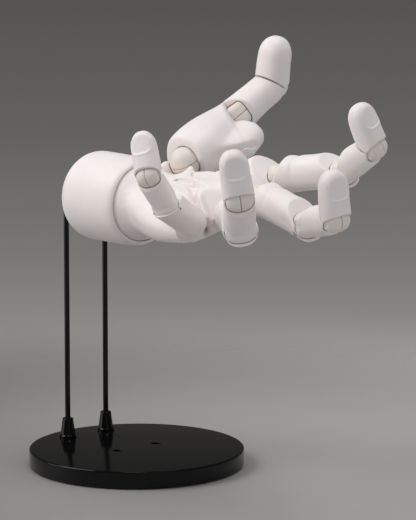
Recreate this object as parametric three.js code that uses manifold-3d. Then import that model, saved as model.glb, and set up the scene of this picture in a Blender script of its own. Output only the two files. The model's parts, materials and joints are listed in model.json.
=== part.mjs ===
// A posable hand model on a stand, for drawing practice.
// Millimetres, +Z up, origin at the bottom centre of the round base.
// The left hand lies palm up along +X, with its thumb towards +Y.
import * as THREE from "three";
import { mergeVertices } from "three/addons/utils/BufferGeometryUtils.js";
import Module from "manifold-3d";

const wasm = await Module();
wasm.setup();

const X = new THREE.Vector3(1, 0, 0);
const Y = new THREE.Vector3(0, 1, 0);
const Z = new THREE.Vector3(0, 0, 1);

// Clearances
const turnGap = 0.4; // between a turned piece and the socket around it
const seatGap = 0.3; // between two pieces that are pressed or glued together
const splitGap = 0.3; // between the two halves of a knuckle
const cutReach = 60; // how far a cutting block reaches past the piece that it cuts

// Stand
const baseRadius = 60;
const baseThickness = 10;
const baseEdge = 1.2;
const padRadius = 52;
const padThickness = 2;
const padStandOut = 0.8;
const rodRadius = 1.5;
const rodSpacing = 27.4;
const rodSetback = 45;
const rodBend = 4;
const rodFoot = 5;
const rodPlug = 7;
const spareHoleRadius = 2.6;
const ferruleHeight = 11;
const ferruleFootRadius = 4.8;
const ferruleFootHeight = 1.2;
const ferruleTopRadius = 3.1;

// Cuff: the barrel-shaped stub of a forearm
const wristHeight = 148.6;
const cuffRadius = 24.8;
const cuffBack = 40.8;
const cuffFront = 6.7;
const cuffBackFillet = 9.4;
const cuffLipRadius = 23.9;
const cuffLip = 2.6;
const cuffBackWall = 11;
const cuffWall = 4.6;

// Wrist: the heel of the hand is a dome that turns in the cuff
const heelRadius = 22;
const heelCut = 9;
const hubRadius = 5;
const hubFlangeRadius = 9;
const hubFlange = 3;
const earThickness = 3;
const earHalfHeight = 4.6;
const earTip = 4.6;
const crossRadius = 5.4;
const pinRadius = 2;
const wristTurn = 22;
const wristTurnRange = [-40, 60];
const wristBend = 5;
const wristBendRange = [-18, 9];
const wristSway = 3.6;
const wristSwayRange = [-6, 4];

// Palm
const palmSquare = 2.5;
const padPocket = { back: 30, front: 76, thumbSide: 17, edgeSide: -14, floor: 5 };

// Knuckles and finger bones
const lapWall = 0.9; // skin of a first bone's lap over the shell below it
const shellWall = 0.9; // shell that a middle bone carries round the back of its barrel
const middleWall = lapWall + shellWall + 2 * turnGap;
const endWall = 0.9; // the same at the joint of a fingertip
const knuckleSideWall = 1.3;
const barrelSteps = [0, 0.45, 0.78, 1]; // points from a barrel's middle to its flat end
const barrelFlat = 0.9; // the flat end cuts the barrel's oval at this part of its width
const ballWall = 2.4;
const axisGap = 0.28; // from a bone's end face to the hinge axis
const bendRoom = 0.8; // room left between two end faces at a joint's limit, degrees
const rootGap = 0.9; // from the palm's end face to a finger's axis, with room for its twist
const middleLap = 30; // a first bone laps over the back of its joint by so many degrees
const lapRoom = 4; // room beyond each end of the shell below that lap, degrees
const shellRoot = 25; // how far the shell reaches into its own bone, degrees
const endCup = 34; // slope of a middle bone's cup on the back, degrees
const endLip = 4; // slope of a fingertip's straight lip on the back, degrees
const thumbBack = 9; // slope of the end faces at the back of the thumb's knuckle, degrees
const pegRadius = 1.6;
const pegLength = 3.2;
const pegDepthGap = 0.4;
const splitPinRadius = 1.8;
const splitPinLength = 3;
const boneSides = 14;
const knuckleSides = 12;
const pegSides = 6;

// Largest bend of each finger joint, and how far the knuckle bends back, degrees
const knuckleFlex = 75;
const knuckleBack = 24;
const middleFlex = 95;
const tipFlex = 80;
const twistRange = [-18, 4]; // of a finger on the peg of its ball

// knuckle: place of the first joint from the wrist. bones: lengths of the three bones.
// wide and thick: at the first, second and third joint. aim: the way the palm's end points.
// turn, spread, flex: how the finger is posed. turn is its twist on the peg of its ball.
// spreadRange: its furthest out, then closed.
const fingers = [
  {
    name: "index",
    knuckle: [94, 25, 2.8],
    bones: [44, 27.6, 25.2],
    wide: [17.8, 17.4, 15.6],
    thick: [19.6, 17.6, 14.2],
    aim: 4,
    turn: -2,
    spread: 7,
    spreadRange: [22, -4],
    flex: [0.3, 24, 70],
  },
  {
    name: "middle",
    knuckle: [96, 5.5, 0],
    bones: [47, 29, 26.8],
    wide: [18.2, 17.6, 16],
    thick: [20, 17.4, 14.6],
    aim: -2,
    turn: -13.9,
    spread: -16,
    spreadRange: [-22, 0],
    flex: [-10.5, 21, 74],
  },
  {
    name: "ring",
    knuckle: [91, -13.5, 0],
    bones: [43, 28, 26.2],
    wide: [17.6, 18.6, 16.4],
    thick: [19.4, 17.6, 14.4],
    aim: -12,
    turn: -11.4,
    spread: -35.6,
    spreadRange: [-42, -9],
    flex: [6.2, 43, 42],
  },
  {
    name: "little",
    knuckle: [82, -31.5, 3],
    bones: [34.5, 21.5, 24],
    wide: [16.2, 15.6, 14.2],
    thick: [17.6, 15.2, 12.8],
    aim: -22,
    turn: -0,
    spread: -60,
    spreadRange: [-64, -10],
    flex: [42, 27, 55],
  },
];

// Thumb
const thumbRoot = [22, 25, 11.5];
const thumbBones = [48, 35, 28.5];
const thumbWide = [26, 21, 19.4];
const thumbThick = [25, 20.5, 17];
const thumbAim = 88; // the way that the thumb's lifting hinge faces
const thumbSwing = 7.4;
const thumbSwingRange = [-22, 13];
const thumbLift = 4.6;
const thumbLiftRange = [-14, 26];
const thumbTwist = 21.4;
const thumbKnuckle = 3.7;
const thumbKnuckleRange = [-8, 58];
const thumbTipBend = 70.7;
const thumbTipRange = [-4, 72];
const thumbMouth = 48; // slope of the base's mouth at the knuckle, on the palm side
const thumbBoneCut = 28; // slope of the bone's end at the knuckle, on the palm side
const thumbRoll = 50; // the knuckle's hinge is rolled by so much about the thumb, degrees
const thumbKnuckleWall = 1.5;
const thumbBarrel = 13; // length of the knuckle's barrel
const thumbStubCut = 44; // slope of the palm's stub at the thumb's root, on the palm side
const thumbBallRadius = 8.6;
const webReach = 27;
const webThickness = 7;

const materials = {
  skin: { color: 0xf1e9e8, roughness: 0.55, metalness: 0 },
  knuckle: { color: 0xe9dfd9, roughness: 0.5, metalness: 0 },
  black: { color: 0x0b0b0c, roughness: 0.12, metalness: 0 },
  rubber: { color: 0x17181a, roughness: 0.9, metalness: 0 },
  steel: { color: 0x8d8f93, roughness: 0.35, metalness: 1 },
};

const degrees = THREE.MathUtils.degToRad;

// Solids

function toSolid(geometry) {
  const plain = geometry.index ? geometry.toNonIndexed() : geometry.clone();
  plain.deleteAttribute("normal");
  plain.deleteAttribute("uv");
  const merged = mergeVertices(plain, 1e-4);
  const place = merged.attributes.position.array;
  const corners = [];
  let volume = 0;
  const index = merged.index.array;
  for (let i = 0; i < index.length; i += 3) {
    const [a, b, c] = [index[i], index[i + 1], index[i + 2]];
    if (a === b || b === c || c === a) continue;
    corners.push(a, b, c);
    const [p, q, r] = [a, b, c].map((k) => new THREE.Vector3().fromArray(place, 3 * k));
    volume += p.dot(q.cross(r));
  }
  const triVerts = new Uint32Array(volume < 0 ? corners.reverse() : corners);
  return new wasm.Manifold(
    new wasm.Mesh({ numProp: 3, vertProperties: place, triVerts }),
  );
}

function toGeometry(solid) {
  const mesh = solid.getMesh();
  const place = new Float32Array(mesh.numVert * 3);
  for (let i = 0; i < mesh.numVert; i += 1) {
    const from = i * mesh.numProp;
    place.set(mesh.vertProperties.subarray(from, from + 3), i * 3);
  }
  const geometry = new THREE.BufferGeometry();
  geometry.setAttribute("position", new THREE.BufferAttribute(place, 3));
  geometry.setIndex(new THREE.BufferAttribute(mesh.triVerts, 1));
  return geometry;
}

function join(...solids) {
  return solids.reduce((a, b) => a.add(b));
}

function cut(solid, ...tools) {
  return tools.reduce((a, b) => a.subtract(b), solid);
}

// A profile of [radius, distance along the axis] turned about X, Y or Z.
function turned(profile, axis, sides = knuckleSides) {
  const points = profile.map(([r, along]) => new THREE.Vector2(Math.max(r, 0), along));
  const geometry = new THREE.LatheGeometry(points, sides);
  if (axis === X) geometry.rotateZ(-Math.PI / 2);
  if (axis === Z) geometry.rotateX(Math.PI / 2);
  return geometry;
}

function rod(radius, from, to, axis, sides = 12) {
  return turned([[0, from], [radius, from], [radius, to], [0, to]], axis, sides);
}

// Points of a quarter turn or less: an arc about [r, along], from one angle to another.
function arc(r, along, radius, from, to, steps) {
  const points = [];
  for (let k = 0; k <= steps; k += 1) {
    const t = degrees(from + ((to - from) * k) / steps);
    points.push([r + radius * Math.cos(t), along + radius * Math.sin(t)]);
  }
  return points;
}

// A closed skin through rings of points, each ring having the same number of points.
function skin(rings) {
  const place = [];
  const index = [];
  const sides = rings[0].length;
  rings.forEach((ring) => ring.forEach((p) => place.push(...p)));
  const middle = (ring) => [0, 1, 2].map((k) => ring.reduce((s, p) => s + p[k], 0) / sides);
  place.push(...middle(rings[0]), ...middle(rings[rings.length - 1]));
  const first = rings.length * sides;
  for (let k = 0; k < sides; k += 1) {
    const next = (k + 1) % sides;
    for (let r = 0; r + 1 < rings.length; r += 1) {
      const low = r * sides;
      const high = low + sides;
      index.push(low + k, low + next, high + next, low + k, high + next, high + k);
    }
    const last = first - sides;
    index.push(first, next, k, first + 1, last + k, last + next);
  }
  const geometry = new THREE.BufferGeometry();
  geometry.setAttribute("position", new THREE.Float32BufferAttribute(place, 3));
  geometry.setIndex(index);
  return geometry;
}

// A rounded outline across X: half a width, a height towards the palm and one to the back.
function oval(x, side, half, palm, back, square = 2.2, sides = boneSides) {
  const ring = [];
  const bulge = (v) => Math.sign(v) * Math.abs(v) ** (2 / square);
  for (let k = 0; k < sides; k += 1) {
    const t = (2 * Math.PI * k) / sides;
    const height = Math.sin(t) > 0 ? palm : back;
    ring.push([x, side + half * bulge(Math.cos(t)), height * bulge(Math.sin(t))]);
  }
  return ring;
}

// A cutting block: an outline in X and Z, drawn through the piece from side to side.
function block(outline, half) {
  const shape = new THREE.Shape(outline.map(([x, z]) => new THREE.Vector2(x, z)));
  const geometry = new THREE.ExtrudeGeometry(shape, { depth: 2 * half, bevelEnabled: false });
  return geometry.translate(0, 0, -half).rotateX(Math.PI / 2);
}

// What lies before a joint's axis, with a slope on the palm side and one on the back.
function before(palmCut, backSlope, gap, half = cutReach, reach = cutReach) {
  const palmX = gap + reach * Math.tan(degrees(palmCut));
  const backX = gap + reach * Math.tan(degrees(backSlope));
  const far = -cutReach - reach;
  const outline = [[far, -reach], [backX, -reach], [gap, 0], [palmX, reach], [far, reach]];
  return block(outline, half);
}

// The same block turned round, for the far end of a bone.
function beyond(length, palmCut, backSlope, gap, half = cutReach, reach = cutReach) {
  return before(palmCut, backSlope, gap, half, reach).scale(-1, 1, 1).translate(length, 0, 0);
}

// The scene graph

const handModel = new THREE.Group();

function addPiece(parent, name, solid, material) {
  const look = new THREE.MeshStandardMaterial(materials[material]);
  const geometry = solid.isBufferGeometry ? solid : toGeometry(solid);
  const mesh = new THREE.Mesh(geometry, look);
  mesh.name = name;
  parent.add(mesh);
  return mesh;
}

// A joint at a place in its parent: it turns about one axis, from least to most degrees.
function addJoint(parent, name, place, axis, angle, least, most) {
  const joint = new THREE.Group();
  joint.name = name;
  joint.position.set(...place);
  joint.quaternion.setFromAxisAngle(axis, degrees(angle));
  joint.userData = { axis: axis.toArray(), angle, least, most };
  parent.add(joint);
  return joint;
}

function addFrame(parent, place, axis, angle) {
  const frame = new THREE.Group();
  frame.position.set(...place);
  frame.quaternion.setFromAxisAngle(axis, degrees(angle));
  parent.add(frame);
  return frame;
}

// Knuckles: two half barrels side by side on one pin, each with a peg into its own bone.

function knuckleSize(wide, thick, wall) {
  return { radius: thick / 2 - wall, half: wide / 2 - knuckleSideWall, square: 2 };
}

// The barrel's outline from its middle to one end, with its rounded shoulder.
function barrelOutline(size, grow = 0) {
  const radius = size.radius + grow;
  const half = size.half + grow;
  const points = barrelSteps.map((step) => {
    const rest = 1 - (barrelFlat * step) ** size.square;
    return [radius * rest ** (1 / size.square), half * step];
  });
  return [...points, [0, half]];
}

// The same from end to end, without the flat ends.
function barrelSide(size) {
  const side = barrelOutline(size).slice(0, -1);
  const other = side.slice(1).map(([r, along]) => [r, -along]);
  return [...other.reverse(), ...side];
}

function barrelSocket(size) {
  const side = barrelOutline(size, turnGap);
  const other = side.slice(1).map(([r, along]) => [r, -along]);
  return turned([...other.reverse(), ...side], Y);
}

// The half on -Y carries the pin, and the half on +Y has the hole for it.
function knuckleHalf(outline, side, peg) {
  const rim = outline.slice(1);
  const edge = outline[0][0];
  let profile;
  if (side < 0) {
    const rest = [...rim].reverse().map(([r, along]) => [r, -along]);
    const pin = [[splitPinRadius, -splitGap / 2], [splitPinRadius, splitPinLength], [0, splitPinLength]];
    profile = [...rest, [edge, -splitGap / 2], ...pin];
  } else {
    const hole = splitPinRadius + seatGap;
    const depth = splitPinLength + seatGap;
    profile = [[0, depth], [hole, depth], [hole, splitGap / 2], [edge, splitGap / 2], ...rim];
  }
  const half = toSolid(turned(profile, Y));
  if (!peg) return half;
  const stem = rod(pegRadius, edge * 0.6, edge + pegLength, X, pegSides);
  if (peg < 0) stem.rotateZ(Math.PI);
  stem.translate(0, side * pegPlace(outline), 0);
  return join(half, toSolid(stem));
}

// How far a peg stands to the side of the split: midway from the split to the barrel's shoulder.
function pegPlace(outline) {
  return outline[1][1] / 2 + splitGap;
}

// The hole in a bone for a knuckle's peg.
function pegHole(outline, side, towards) {
  const edge = outline[0][0];
  const hole = rod(pegRadius + seatGap, 0, edge + pegLength + pegDepthGap, X, pegSides);
  if (towards < 0) hole.rotateZ(Math.PI);
  return hole.translate(0, side * pegPlace(outline), 0);
}

// The part of a barrel's outer layer between two angles from +X towards +Z, in degrees.
function barrelLayer(inner, outer, from, to) {
  const side = barrelSide(outer);
  const section = [...side, ...barrelSide(inner).reverse(), side[0]];
  const outline = [[0, 0]];
  for (let k = 0; k <= 4; k += 1) {
    const t = degrees(from + ((to - from) * k) / 4);
    outline.push([2 * outer.radius * Math.cos(t), 2 * outer.radius * Math.sin(t)]);
  }
  const ring = toSolid(turned(section, Y, 2 * knuckleSides));
  return ring.intersect(toSolid(block(outline, outer.half + 1)));
}

// The shell round the back of a middle joint's barrel ends below the lap at the largest bend.
const lapEdge = middleLap - 90;
const shellEnd = lapEdge - middleFlex - lapRoom;

function backShell(size) {
  const inner = { ...size, radius: size.radius + turnGap };
  const outer = { ...size, radius: inner.radius + shellWall };
  return barrelLayer(inner, outer, shellEnd, lapEdge + shellRoot);
}

function backShellRoom(size) {
  const inner = { ...size, radius: size.radius - shellWall };
  const radius = size.radius + shellWall + 2 * turnGap;
  const outer = { ...size, radius, half: size.half + turnGap };
  return barrelLayer(inner, outer, shellEnd - lapRoom, lapEdge + lapRoom);
}

function ballOutline(radius) {
  return arc(0, 0, radius, 0, 90, 3);
}

// Bones

// Rings of a bone from one joint to the next, with a pad on the palm side.
function boneRings(length, wide, thick, pad) {
  const rings = [];
  const steps = 4;
  for (let k = 0; k <= steps; k += 1) {
    const s = k / steps;
    const swell = Math.sin(Math.PI * s);
    const half = THREE.MathUtils.lerp(wide[0], wide[1], s) / 2;
    const deep = THREE.MathUtils.lerp(thick[0], thick[1], s) / 2;
    const palmSide = deep * (1 + pad * swell);
    const backSide = deep * (1 - 0.06 * swell);
    rings.push(oval(length * s, 0, half * (1 - 0.05 * swell), palmSide, backSide));
  }
  return rings;
}

// Rings of a fingertip: even for its first part, then rounded off to the tip.
function tipRings(length, wide, thick) {
  const even = 0.56;
  const rings = [];
  for (let k = 0; k < 2; k += 1) {
    const s = (even * k) / 2;
    rings.push(oval(length * s, 0, wide / 2, (thick / 2) * (1 + 0.16 * s), (thick / 2) * (1 - 0.2 * s)));
  }
  for (let k = 0; k <= 4; k += 1) {
    const t = degrees(k * 21);
    const s = even + (1 - even) * Math.sin(t);
    const round = Math.cos(t) ** 0.72;
    const palm = (thick / 2) * (1 + 0.16 * even) * round;
    const back = (thick / 2) * (1 - 0.2 * even - 0.1 * Math.sin(t)) * round;
    rings.push(oval(length * s, 0, (wide / 2) * round, palm, back));
  }
  return rings;
}

// The stand: a round base on a thin pad, with two bent rods that screw down in ferrules

const rodPlaces = [-rodSpacing / 2, rodSpacing / 2];

function makeBase() {
  const low = padStandOut;
  const profile = [
    [0, low],
    [baseRadius - baseEdge / 2, low],
    [baseRadius, low + baseEdge / 2],
    ...arc(baseRadius - baseEdge, baseThickness - baseEdge, baseEdge, 0, 90, 2),
    [0, baseThickness],
  ];
  const pocket = rod(padRadius + seatGap, low - 1, padThickness + seatGap, Z, 44);
  const holes = rodPlaces.flatMap((y) => [
    rod(spareHoleRadius, -1, baseThickness + 1, Z).translate(0, y, 0),
    rod(rodRadius + seatGap, baseThickness - rodFoot, baseThickness + 1, Z).translate(-rodSetback, y, 0),
  ]);
  const disc = toSolid(turned(profile, Z, 44));
  return cut(disc, toSolid(pocket), ...holes.map(toSolid));
}

function makeRod() {
  const sides = 12;
  const top = wristHeight - rodBend;
  const bendX = -rodSetback + rodBend;
  const rings = [];
  const ringAt = (x, z, lean) => {
    const ring = [];
    for (let k = 0; k < sides; k += 1) {
      const t = (2 * Math.PI * k) / sides;
      const out = rodRadius * Math.cos(t);
      ring.push([x + out * Math.cos(lean), rodRadius * Math.sin(t), z - out * Math.sin(lean)]);
    }
    rings.push(ring);
  };
  ringAt(-rodSetback, baseThickness - rodFoot + seatGap, 0);
  for (let k = 0; k <= 4; k += 1) {
    const lean = degrees(22.5 * k);
    ringAt(bendX - rodBend * Math.cos(lean), top + rodBend * Math.sin(lean), lean);
  }
  ringAt(-cuffBack + rodPlug, wristHeight, Math.PI / 2);
  return skin(rings);
}

function makeFerrule() {
  const bore = rodRadius + seatGap;
  const foot = baseThickness;
  const shoulder = ferruleFootRadius - 0.5;
  return turned(
    [
      [bore, foot],
      [ferruleFootRadius, foot],
      [ferruleFootRadius, foot + ferruleFootHeight],
      [shoulder, foot + ferruleFootHeight + 0.3],
      [ferruleTopRadius, foot + ferruleHeight - 0.5],
      [ferruleTopRadius - 0.5, foot + ferruleHeight],
      [bore, foot + ferruleHeight],
      [bore, foot],
    ],
    Z,
    16,
  );
}

function makePad() {
  const hole = rod(spareHoleRadius, -1, padThickness + 1, Z);
  const holes = rodPlaces.map((y) => toSolid(hole.clone().translate(0, y, 0)));
  return cut(toSolid(rod(padRadius, 0, padThickness, Z, 44)), ...holes);
}

addPiece(handModel, "base_disc", makeBase(), "black");
addPiece(handModel, "base_pad", makePad(), "rubber");
["left", "right"].forEach((side, k) => {
  const rodMesh = addPiece(handModel, "rod_" + side, makeRod(), "black");
  rodMesh.position.y = rodPlaces[k];
  const ferrule = addPiece(handModel, "ferrule_" + side, makeFerrule(), "black");
  ferrule.position.set(-rodSetback, rodPlaces[k], 0);
});

// The cuff: its back wall takes the rods and the wrist hub, its mouth holds the heel dome

function makeCuff() {
  const socket = heelRadius + turnGap;
  const mouth = Math.sqrt(socket ** 2 - cuffFront ** 2);
  const inner = cuffRadius - cuffWall;
  const innerEdge = -Math.sqrt(socket ** 2 - inner ** 2);
  const wallFace = -cuffBack + cuffBackWall;
  const bowl = [];
  for (let k = 1; k <= 3; k += 1) {
    const x = THREE.MathUtils.lerp(cuffFront, innerEdge, k / 3);
    bowl.push([Math.sqrt(socket ** 2 - x ** 2), x]);
  }
  const profile = [
    [0, -cuffBack],
    [cuffRadius - cuffBackFillet, -cuffBack],
    ...arc(cuffRadius - cuffBackFillet, -cuffBack + cuffBackFillet, cuffBackFillet, -72, 0, 4),
    [cuffRadius, -cuffBack * 0.5],
    [cuffRadius - 0.3, -cuffBack * 0.2],
    [cuffLipRadius, cuffFront - cuffLip],
    [cuffLipRadius - 0.5, cuffFront - cuffLip * 0.4],
    [(cuffLipRadius + mouth) / 2, cuffFront + 0.2],
    [mouth, cuffFront],
    ...bowl,
    [inner, wallFace],
    [0, wallFace],
  ];
  const hubBore = rod(hubRadius + turnGap, -cuffBack + 3, wallFace + 1, X, 16);
  const bores = rodPlaces.map((y) =>
    rod(rodRadius + seatGap, -cuffBack - 1, -cuffBack + rodPlug + seatGap, X).translate(0, y, 0),
  );
  return cut(toSolid(turned(profile, X, 32)), toSolid(hubBore), ...bores.map(toSolid));
}

const cuff = addPiece(handModel, "cuff", makeCuff(), "skin");
cuff.position.z = wristHeight;

// The wrist: a hub that turns in the cuff, with two ears, and a cross that bends and sways

const earInner = crossRadius + 0.6;
const earOuter = earInner + earThickness;
const heelCavity = Math.hypot(earOuter, earHalfHeight, earTip) + 0.8;

function makeHub() {
  const wallFace = -cuffBack + cuffBackWall;
  const flangeFace = wallFace + turnGap;
  const yokeBack = -crossRadius - 7;
  const shaft = turned(
    [
      [0, -cuffBack + 3 + turnGap],
      [hubRadius, -cuffBack + 3 + turnGap],
      [hubRadius, flangeFace],
      [hubFlangeRadius, flangeFace],
      [hubFlangeRadius, flangeFace + hubFlange],
      [hubRadius, flangeFace + hubFlange],
      [hubRadius, yokeBack],
      [0, yokeBack],
    ],
    X,
    16,
  );
  const yoke = new THREE.BoxGeometry(4, 2 * earOuter, 2 * earHalfHeight);
  yoke.translate(yokeBack + 2, 0, 0);
  const ears = [-1, 1].map((side) => {
    const ear = new THREE.BoxGeometry(earTip - yokeBack, earThickness, 2 * earHalfHeight);
    return ear.translate((earTip + yokeBack) / 2, side * (earInner + earThickness / 2), 0);
  });
  const bore = rod(pinRadius + turnGap, -cutReach, cutReach, Y);
  return cut(join(toSolid(shaft), toSolid(yoke), ...ears.map(toSolid)), toSolid(bore));
}

function makeCross() {
  const ball = new THREE.SphereGeometry(crossRadius, 12, 8);
  const acrossPin = rod(pinRadius, -earOuter, earOuter, Y);
  const uprightPin = rod(pinRadius, -heelCavity - 3, heelCavity + 3, Z);
  return join(toSolid(ball), toSolid(acrossPin), toSolid(uprightPin));
}

const wristPlace = [0, 0, wristHeight];
const wristTurnJoint = addJoint(handModel, "wrist_turn", wristPlace, X, wristTurn, ...wristTurnRange);
addPiece(wristTurnJoint, "wrist_hub", makeHub(), "steel");
const bendAxis = Y.clone().negate();
const wristBendJoint = addJoint(
  wristTurnJoint,
  "wrist_bend",
  [0, 0, 0],
  bendAxis,
  wristBend,
  ...wristBendRange,
);
addPiece(wristBendJoint, "wrist_cross", makeCross(), "steel");
const palm = addJoint(wristBendJoint, "wrist_sway", [0, 0, 0], Z, wristSway, ...wristSwayRange);

// The palm: the heel dome, the flat of the hand, and a stub for each finger and the thumb

function frameMatrix(place, swing) {
  const matrix = new THREE.Matrix4().makeTranslation(...place);
  return matrix.multiply(new THREE.Matrix4().makeRotationZ(degrees(swing)));
}

// Palm outlines: distance from the wrist, little-finger edge, thumb edge, palm side, back.
function palmRings() {
  const outlines = [
    [2, -17, 17, 14, 15],
    [13, -18.5, 18.5, 15, 16],
    [22, -22, 21, 15.5, 16.5],
    [34, -28, 24, 15.5, 16],
    [48, -33, 28, 14, 14.5],
    [62, -36.5, 31, 12, 12.5],
    [74, -38, 32.5, 10.5, 11],
  ];
  return outlines.map(([x, low, high, front, back]) =>
    oval(x, (low + high) / 2, (high - low) / 2, front, back, palmSquare, 22),
  );
}

function fingerStub(finger) {
  const rings = [
    oval(-40, 0, finger.wide[0] * 0.36, finger.thick[0] * 0.3, finger.thick[0] * 0.4),
    oval(-20, 0, finger.wide[0] * 0.47, finger.thick[0] * 0.44, finger.thick[0] * 0.46),
    oval(-9, 0, finger.wide[0] * 0.5, finger.thick[0] * 0.52, finger.thick[0] * 0.49),
    oval(0, 0, finger.wide[0] * 0.5, finger.thick[0] * 0.5, finger.thick[0] * 0.5),
  ];
  return skin(rings).applyMatrix4(frameMatrix(finger.knuckle, finger.aim));
}

const ballRadius = (finger) => Math.min(finger.wide[0], finger.thick[0]) / 2 - ballWall;

// The room that a finger's first bone needs at the palm, in steps over its spread.
function fingerRoom(finger) {
  const [out, closed] = finger.spreadRange;
  const steps = Math.ceil(Math.abs(closed - out) / 17);
  const palmCut = knuckleFlex * 0.53 + 5;
  const backSlope = knuckleBack * 0.5 + 2;
  const half = finger.wide[0] / 2 + 2 * turnGap;
  const rooms = [];
  for (let k = 0; k <= steps; k += 1) {
    const swing = THREE.MathUtils.lerp(out, closed, k / steps);
    const room = beyond(0, palmCut, backSlope, rootGap, half, 24);
    rooms.push(room.applyMatrix4(frameMatrix(finger.knuckle, swing)));
  }
  const ball = ballSocket(ballRadius(finger));
  rooms.push(ball.applyMatrix4(frameMatrix(finger.knuckle, finger.aim)));
  return rooms.map(toSolid);
}

// A ball's socket: its flats clear the corners of the ball, which turns in it both ways.
function ballSocket(radius, shift = 0) {
  const clear = (radius + turnGap + shift) / Math.cos(Math.PI / knuckleSides);
  return turned(arc(0, 0, clear, -90, 90, 6), Y);
}

// The thumb's stub on the palm, and the room for the thumb's base.
function thumbStub() {
  const rings = [
    oval(-26, 0, 9, 8, 9),
    oval(-14, 0, 12, 11, 12),
    oval(0, 0, thumbWide[0] / 2, thumbThick[0] / 2, thumbThick[0] / 2),
  ];
  return skin(rings).applyMatrix4(frameMatrix(thumbRoot, thumbAim + thumbSwing));
}

function thumbRoom() {
  const [least, most] = thumbSwingRange;
  const half = thumbWide[0] / 2 + 3.5;
  const rooms = [];
  for (let k = 0; k <= 3; k += 1) {
    const swing = thumbAim + THREE.MathUtils.lerp(least, most, k / 3);
    const room = beyond(0, thumbStubCut, 4 - 0.5 * thumbLiftRange[0], axisGap, half, 26);
    rooms.push(room.applyMatrix4(frameMatrix(thumbRoot, swing)));
  }
  const ball = ballSocket(thumbBallRadius);
  rooms.push(ball.applyMatrix4(frameMatrix(thumbRoot, thumbAim)));
  return rooms.map(toSolid);
}

// The space inside the heel for the wrist's ears and shaft, open at the back.
function heelRoom() {
  const flare = heelCavity + 2.2;
  const profile = [
    [0, -heelCut - 1],
    [flare, -heelCut - 1],
    [heelCavity, -2],
    ...arc(0, 0, heelCavity, 0, 90, 4),
  ];
  const pinHole = rod(pinRadius + turnGap, -heelCavity - 3 - turnGap, heelCavity + 3 + turnGap, Z);
  return [toSolid(turned(profile, X, 18)), toSolid(pinHole)];
}

function padBlock(grow) {
  const { back, front, thumbSide, edgeSide, floor } = padPocket;
  const corner = 7;
  const shape = new THREE.Shape();
  const [x0, x1] = [back - grow, front + grow];
  const [y0, y1] = [edgeSide - grow, thumbSide + grow];
  shape.moveTo(x0 + 2 * corner, y0);
  shape.lineTo(x1 - corner, y0);
  shape.lineTo(x1, y0 + corner);
  shape.lineTo(x1, y1 - corner);
  shape.lineTo(x1 - corner, y1);
  shape.lineTo(x0 + corner, y1);
  shape.lineTo(x0, y1 - corner);
  shape.lineTo(x0, y0 + 2 * corner);
  const pocket = new THREE.ExtrudeGeometry(shape, { depth: 30, bevelEnabled: false });
  return toSolid(pocket.translate(0, 0, floor - grow));
}

const handBlank = join(
  toSolid(skin(palmRings())),
  ...fingers.map((finger) => toSolid(fingerStub(finger))),
  toSolid(thumbStub()),
);

function makePalm() {
  const dome = toSolid(new THREE.SphereGeometry(heelRadius, 28, 12));
  const behind = toSolid(rod(heelRadius + 5, -heelRadius - 5, -heelCut, X, 12));
  const rooms = [...fingers.flatMap(fingerRoom), ...thumbRoom(), ...heelRoom()];
  return cut(join(handBlank, dome), behind, padBlock(0), ...rooms);
}

function makePalmPad() {
  const rooms = [...fingers.flatMap(fingerRoom), ...thumbRoom()];
  return cut(handBlank.intersect(padBlock(-seatGap)), ...rooms);
}

addPiece(palm, "palm", makePalm(), "skin");
addPiece(palm, "palm_pad", makePalmPad(), "skin");

// Fingers: a ball at the palm, then three bones with a split knuckle between each two.
// The first bone can be twisted on the peg of its ball.

// How far a bone's twist on its peg, which stands beside the middle, moves it off the ball.
function twistShift(ball) {
  const furthest = Math.max(...twistRange.map(Math.abs));
  return pegPlace(ballOutline(ball)) * Math.sin(degrees(furthest));
}

function makeFirstBone(finger) {
  const size = knuckleSize(finger.wide[1], finger.thick[1], middleWall);
  const ball = ballRadius(finger);
  const bone = toSolid(skin(boneRings(finger.bones[0], finger.wide, finger.thick, 0.08)));
  return cut(
    bone,
    toSolid(before(knuckleFlex * 0.47, knuckleBack * 0.5, axisGap)),
    toSolid(ballSocket(ball, twistShift(ball))),
    toSolid(pegHole(ballOutline(ball), 1, 1)),
    toSolid(beyond(finger.bones[0], middleFlex / 2 + bendRoom, -middleLap, axisGap)),
    toSolid(barrelSocket(size).translate(finger.bones[0], 0, 0)),
    backShellRoom(size).translate(finger.bones[0], 0, 0),
    toSolid(pegHole(barrelOutline(size), -1, -1).translate(finger.bones[0], 0, 0)),
  );
}

function makeMiddleBone(finger) {
  const near = knuckleSize(finger.wide[1], finger.thick[1], middleWall);
  const far = knuckleSize(finger.wide[2], finger.thick[2], endWall);
  const length = finger.bones[1];
  const bone = toSolid(skin(boneRings(length, finger.wide.slice(1), finger.thick.slice(1), 0.08)));
  const body = cut(
    bone,
    toSolid(before(middleFlex / 2 + bendRoom, middleLap + bendRoom, axisGap)),
    toSolid(barrelSocket(near)),
    toSolid(pegHole(barrelOutline(near), 1, 1)),
    toSolid(beyond(length, tipFlex / 2 + bendRoom, endCup, axisGap)),
    toSolid(barrelSocket(far).translate(length, 0, 0)),
    toSolid(pegHole(barrelOutline(far), -1, -1).translate(length, 0, 0)),
  );
  return join(body, backShell(near));
}

function makeTip(length, wide, thick, palmCut) {
  const size = knuckleSize(wide, thick, endWall);
  return cut(
    toSolid(skin(tipRings(length, wide, thick))),
    toSolid(before(palmCut, endLip, axisGap)),
    toSolid(barrelSocket(size)),
    toSolid(pegHole(barrelOutline(size), 1, 1)),
  );
}

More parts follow.
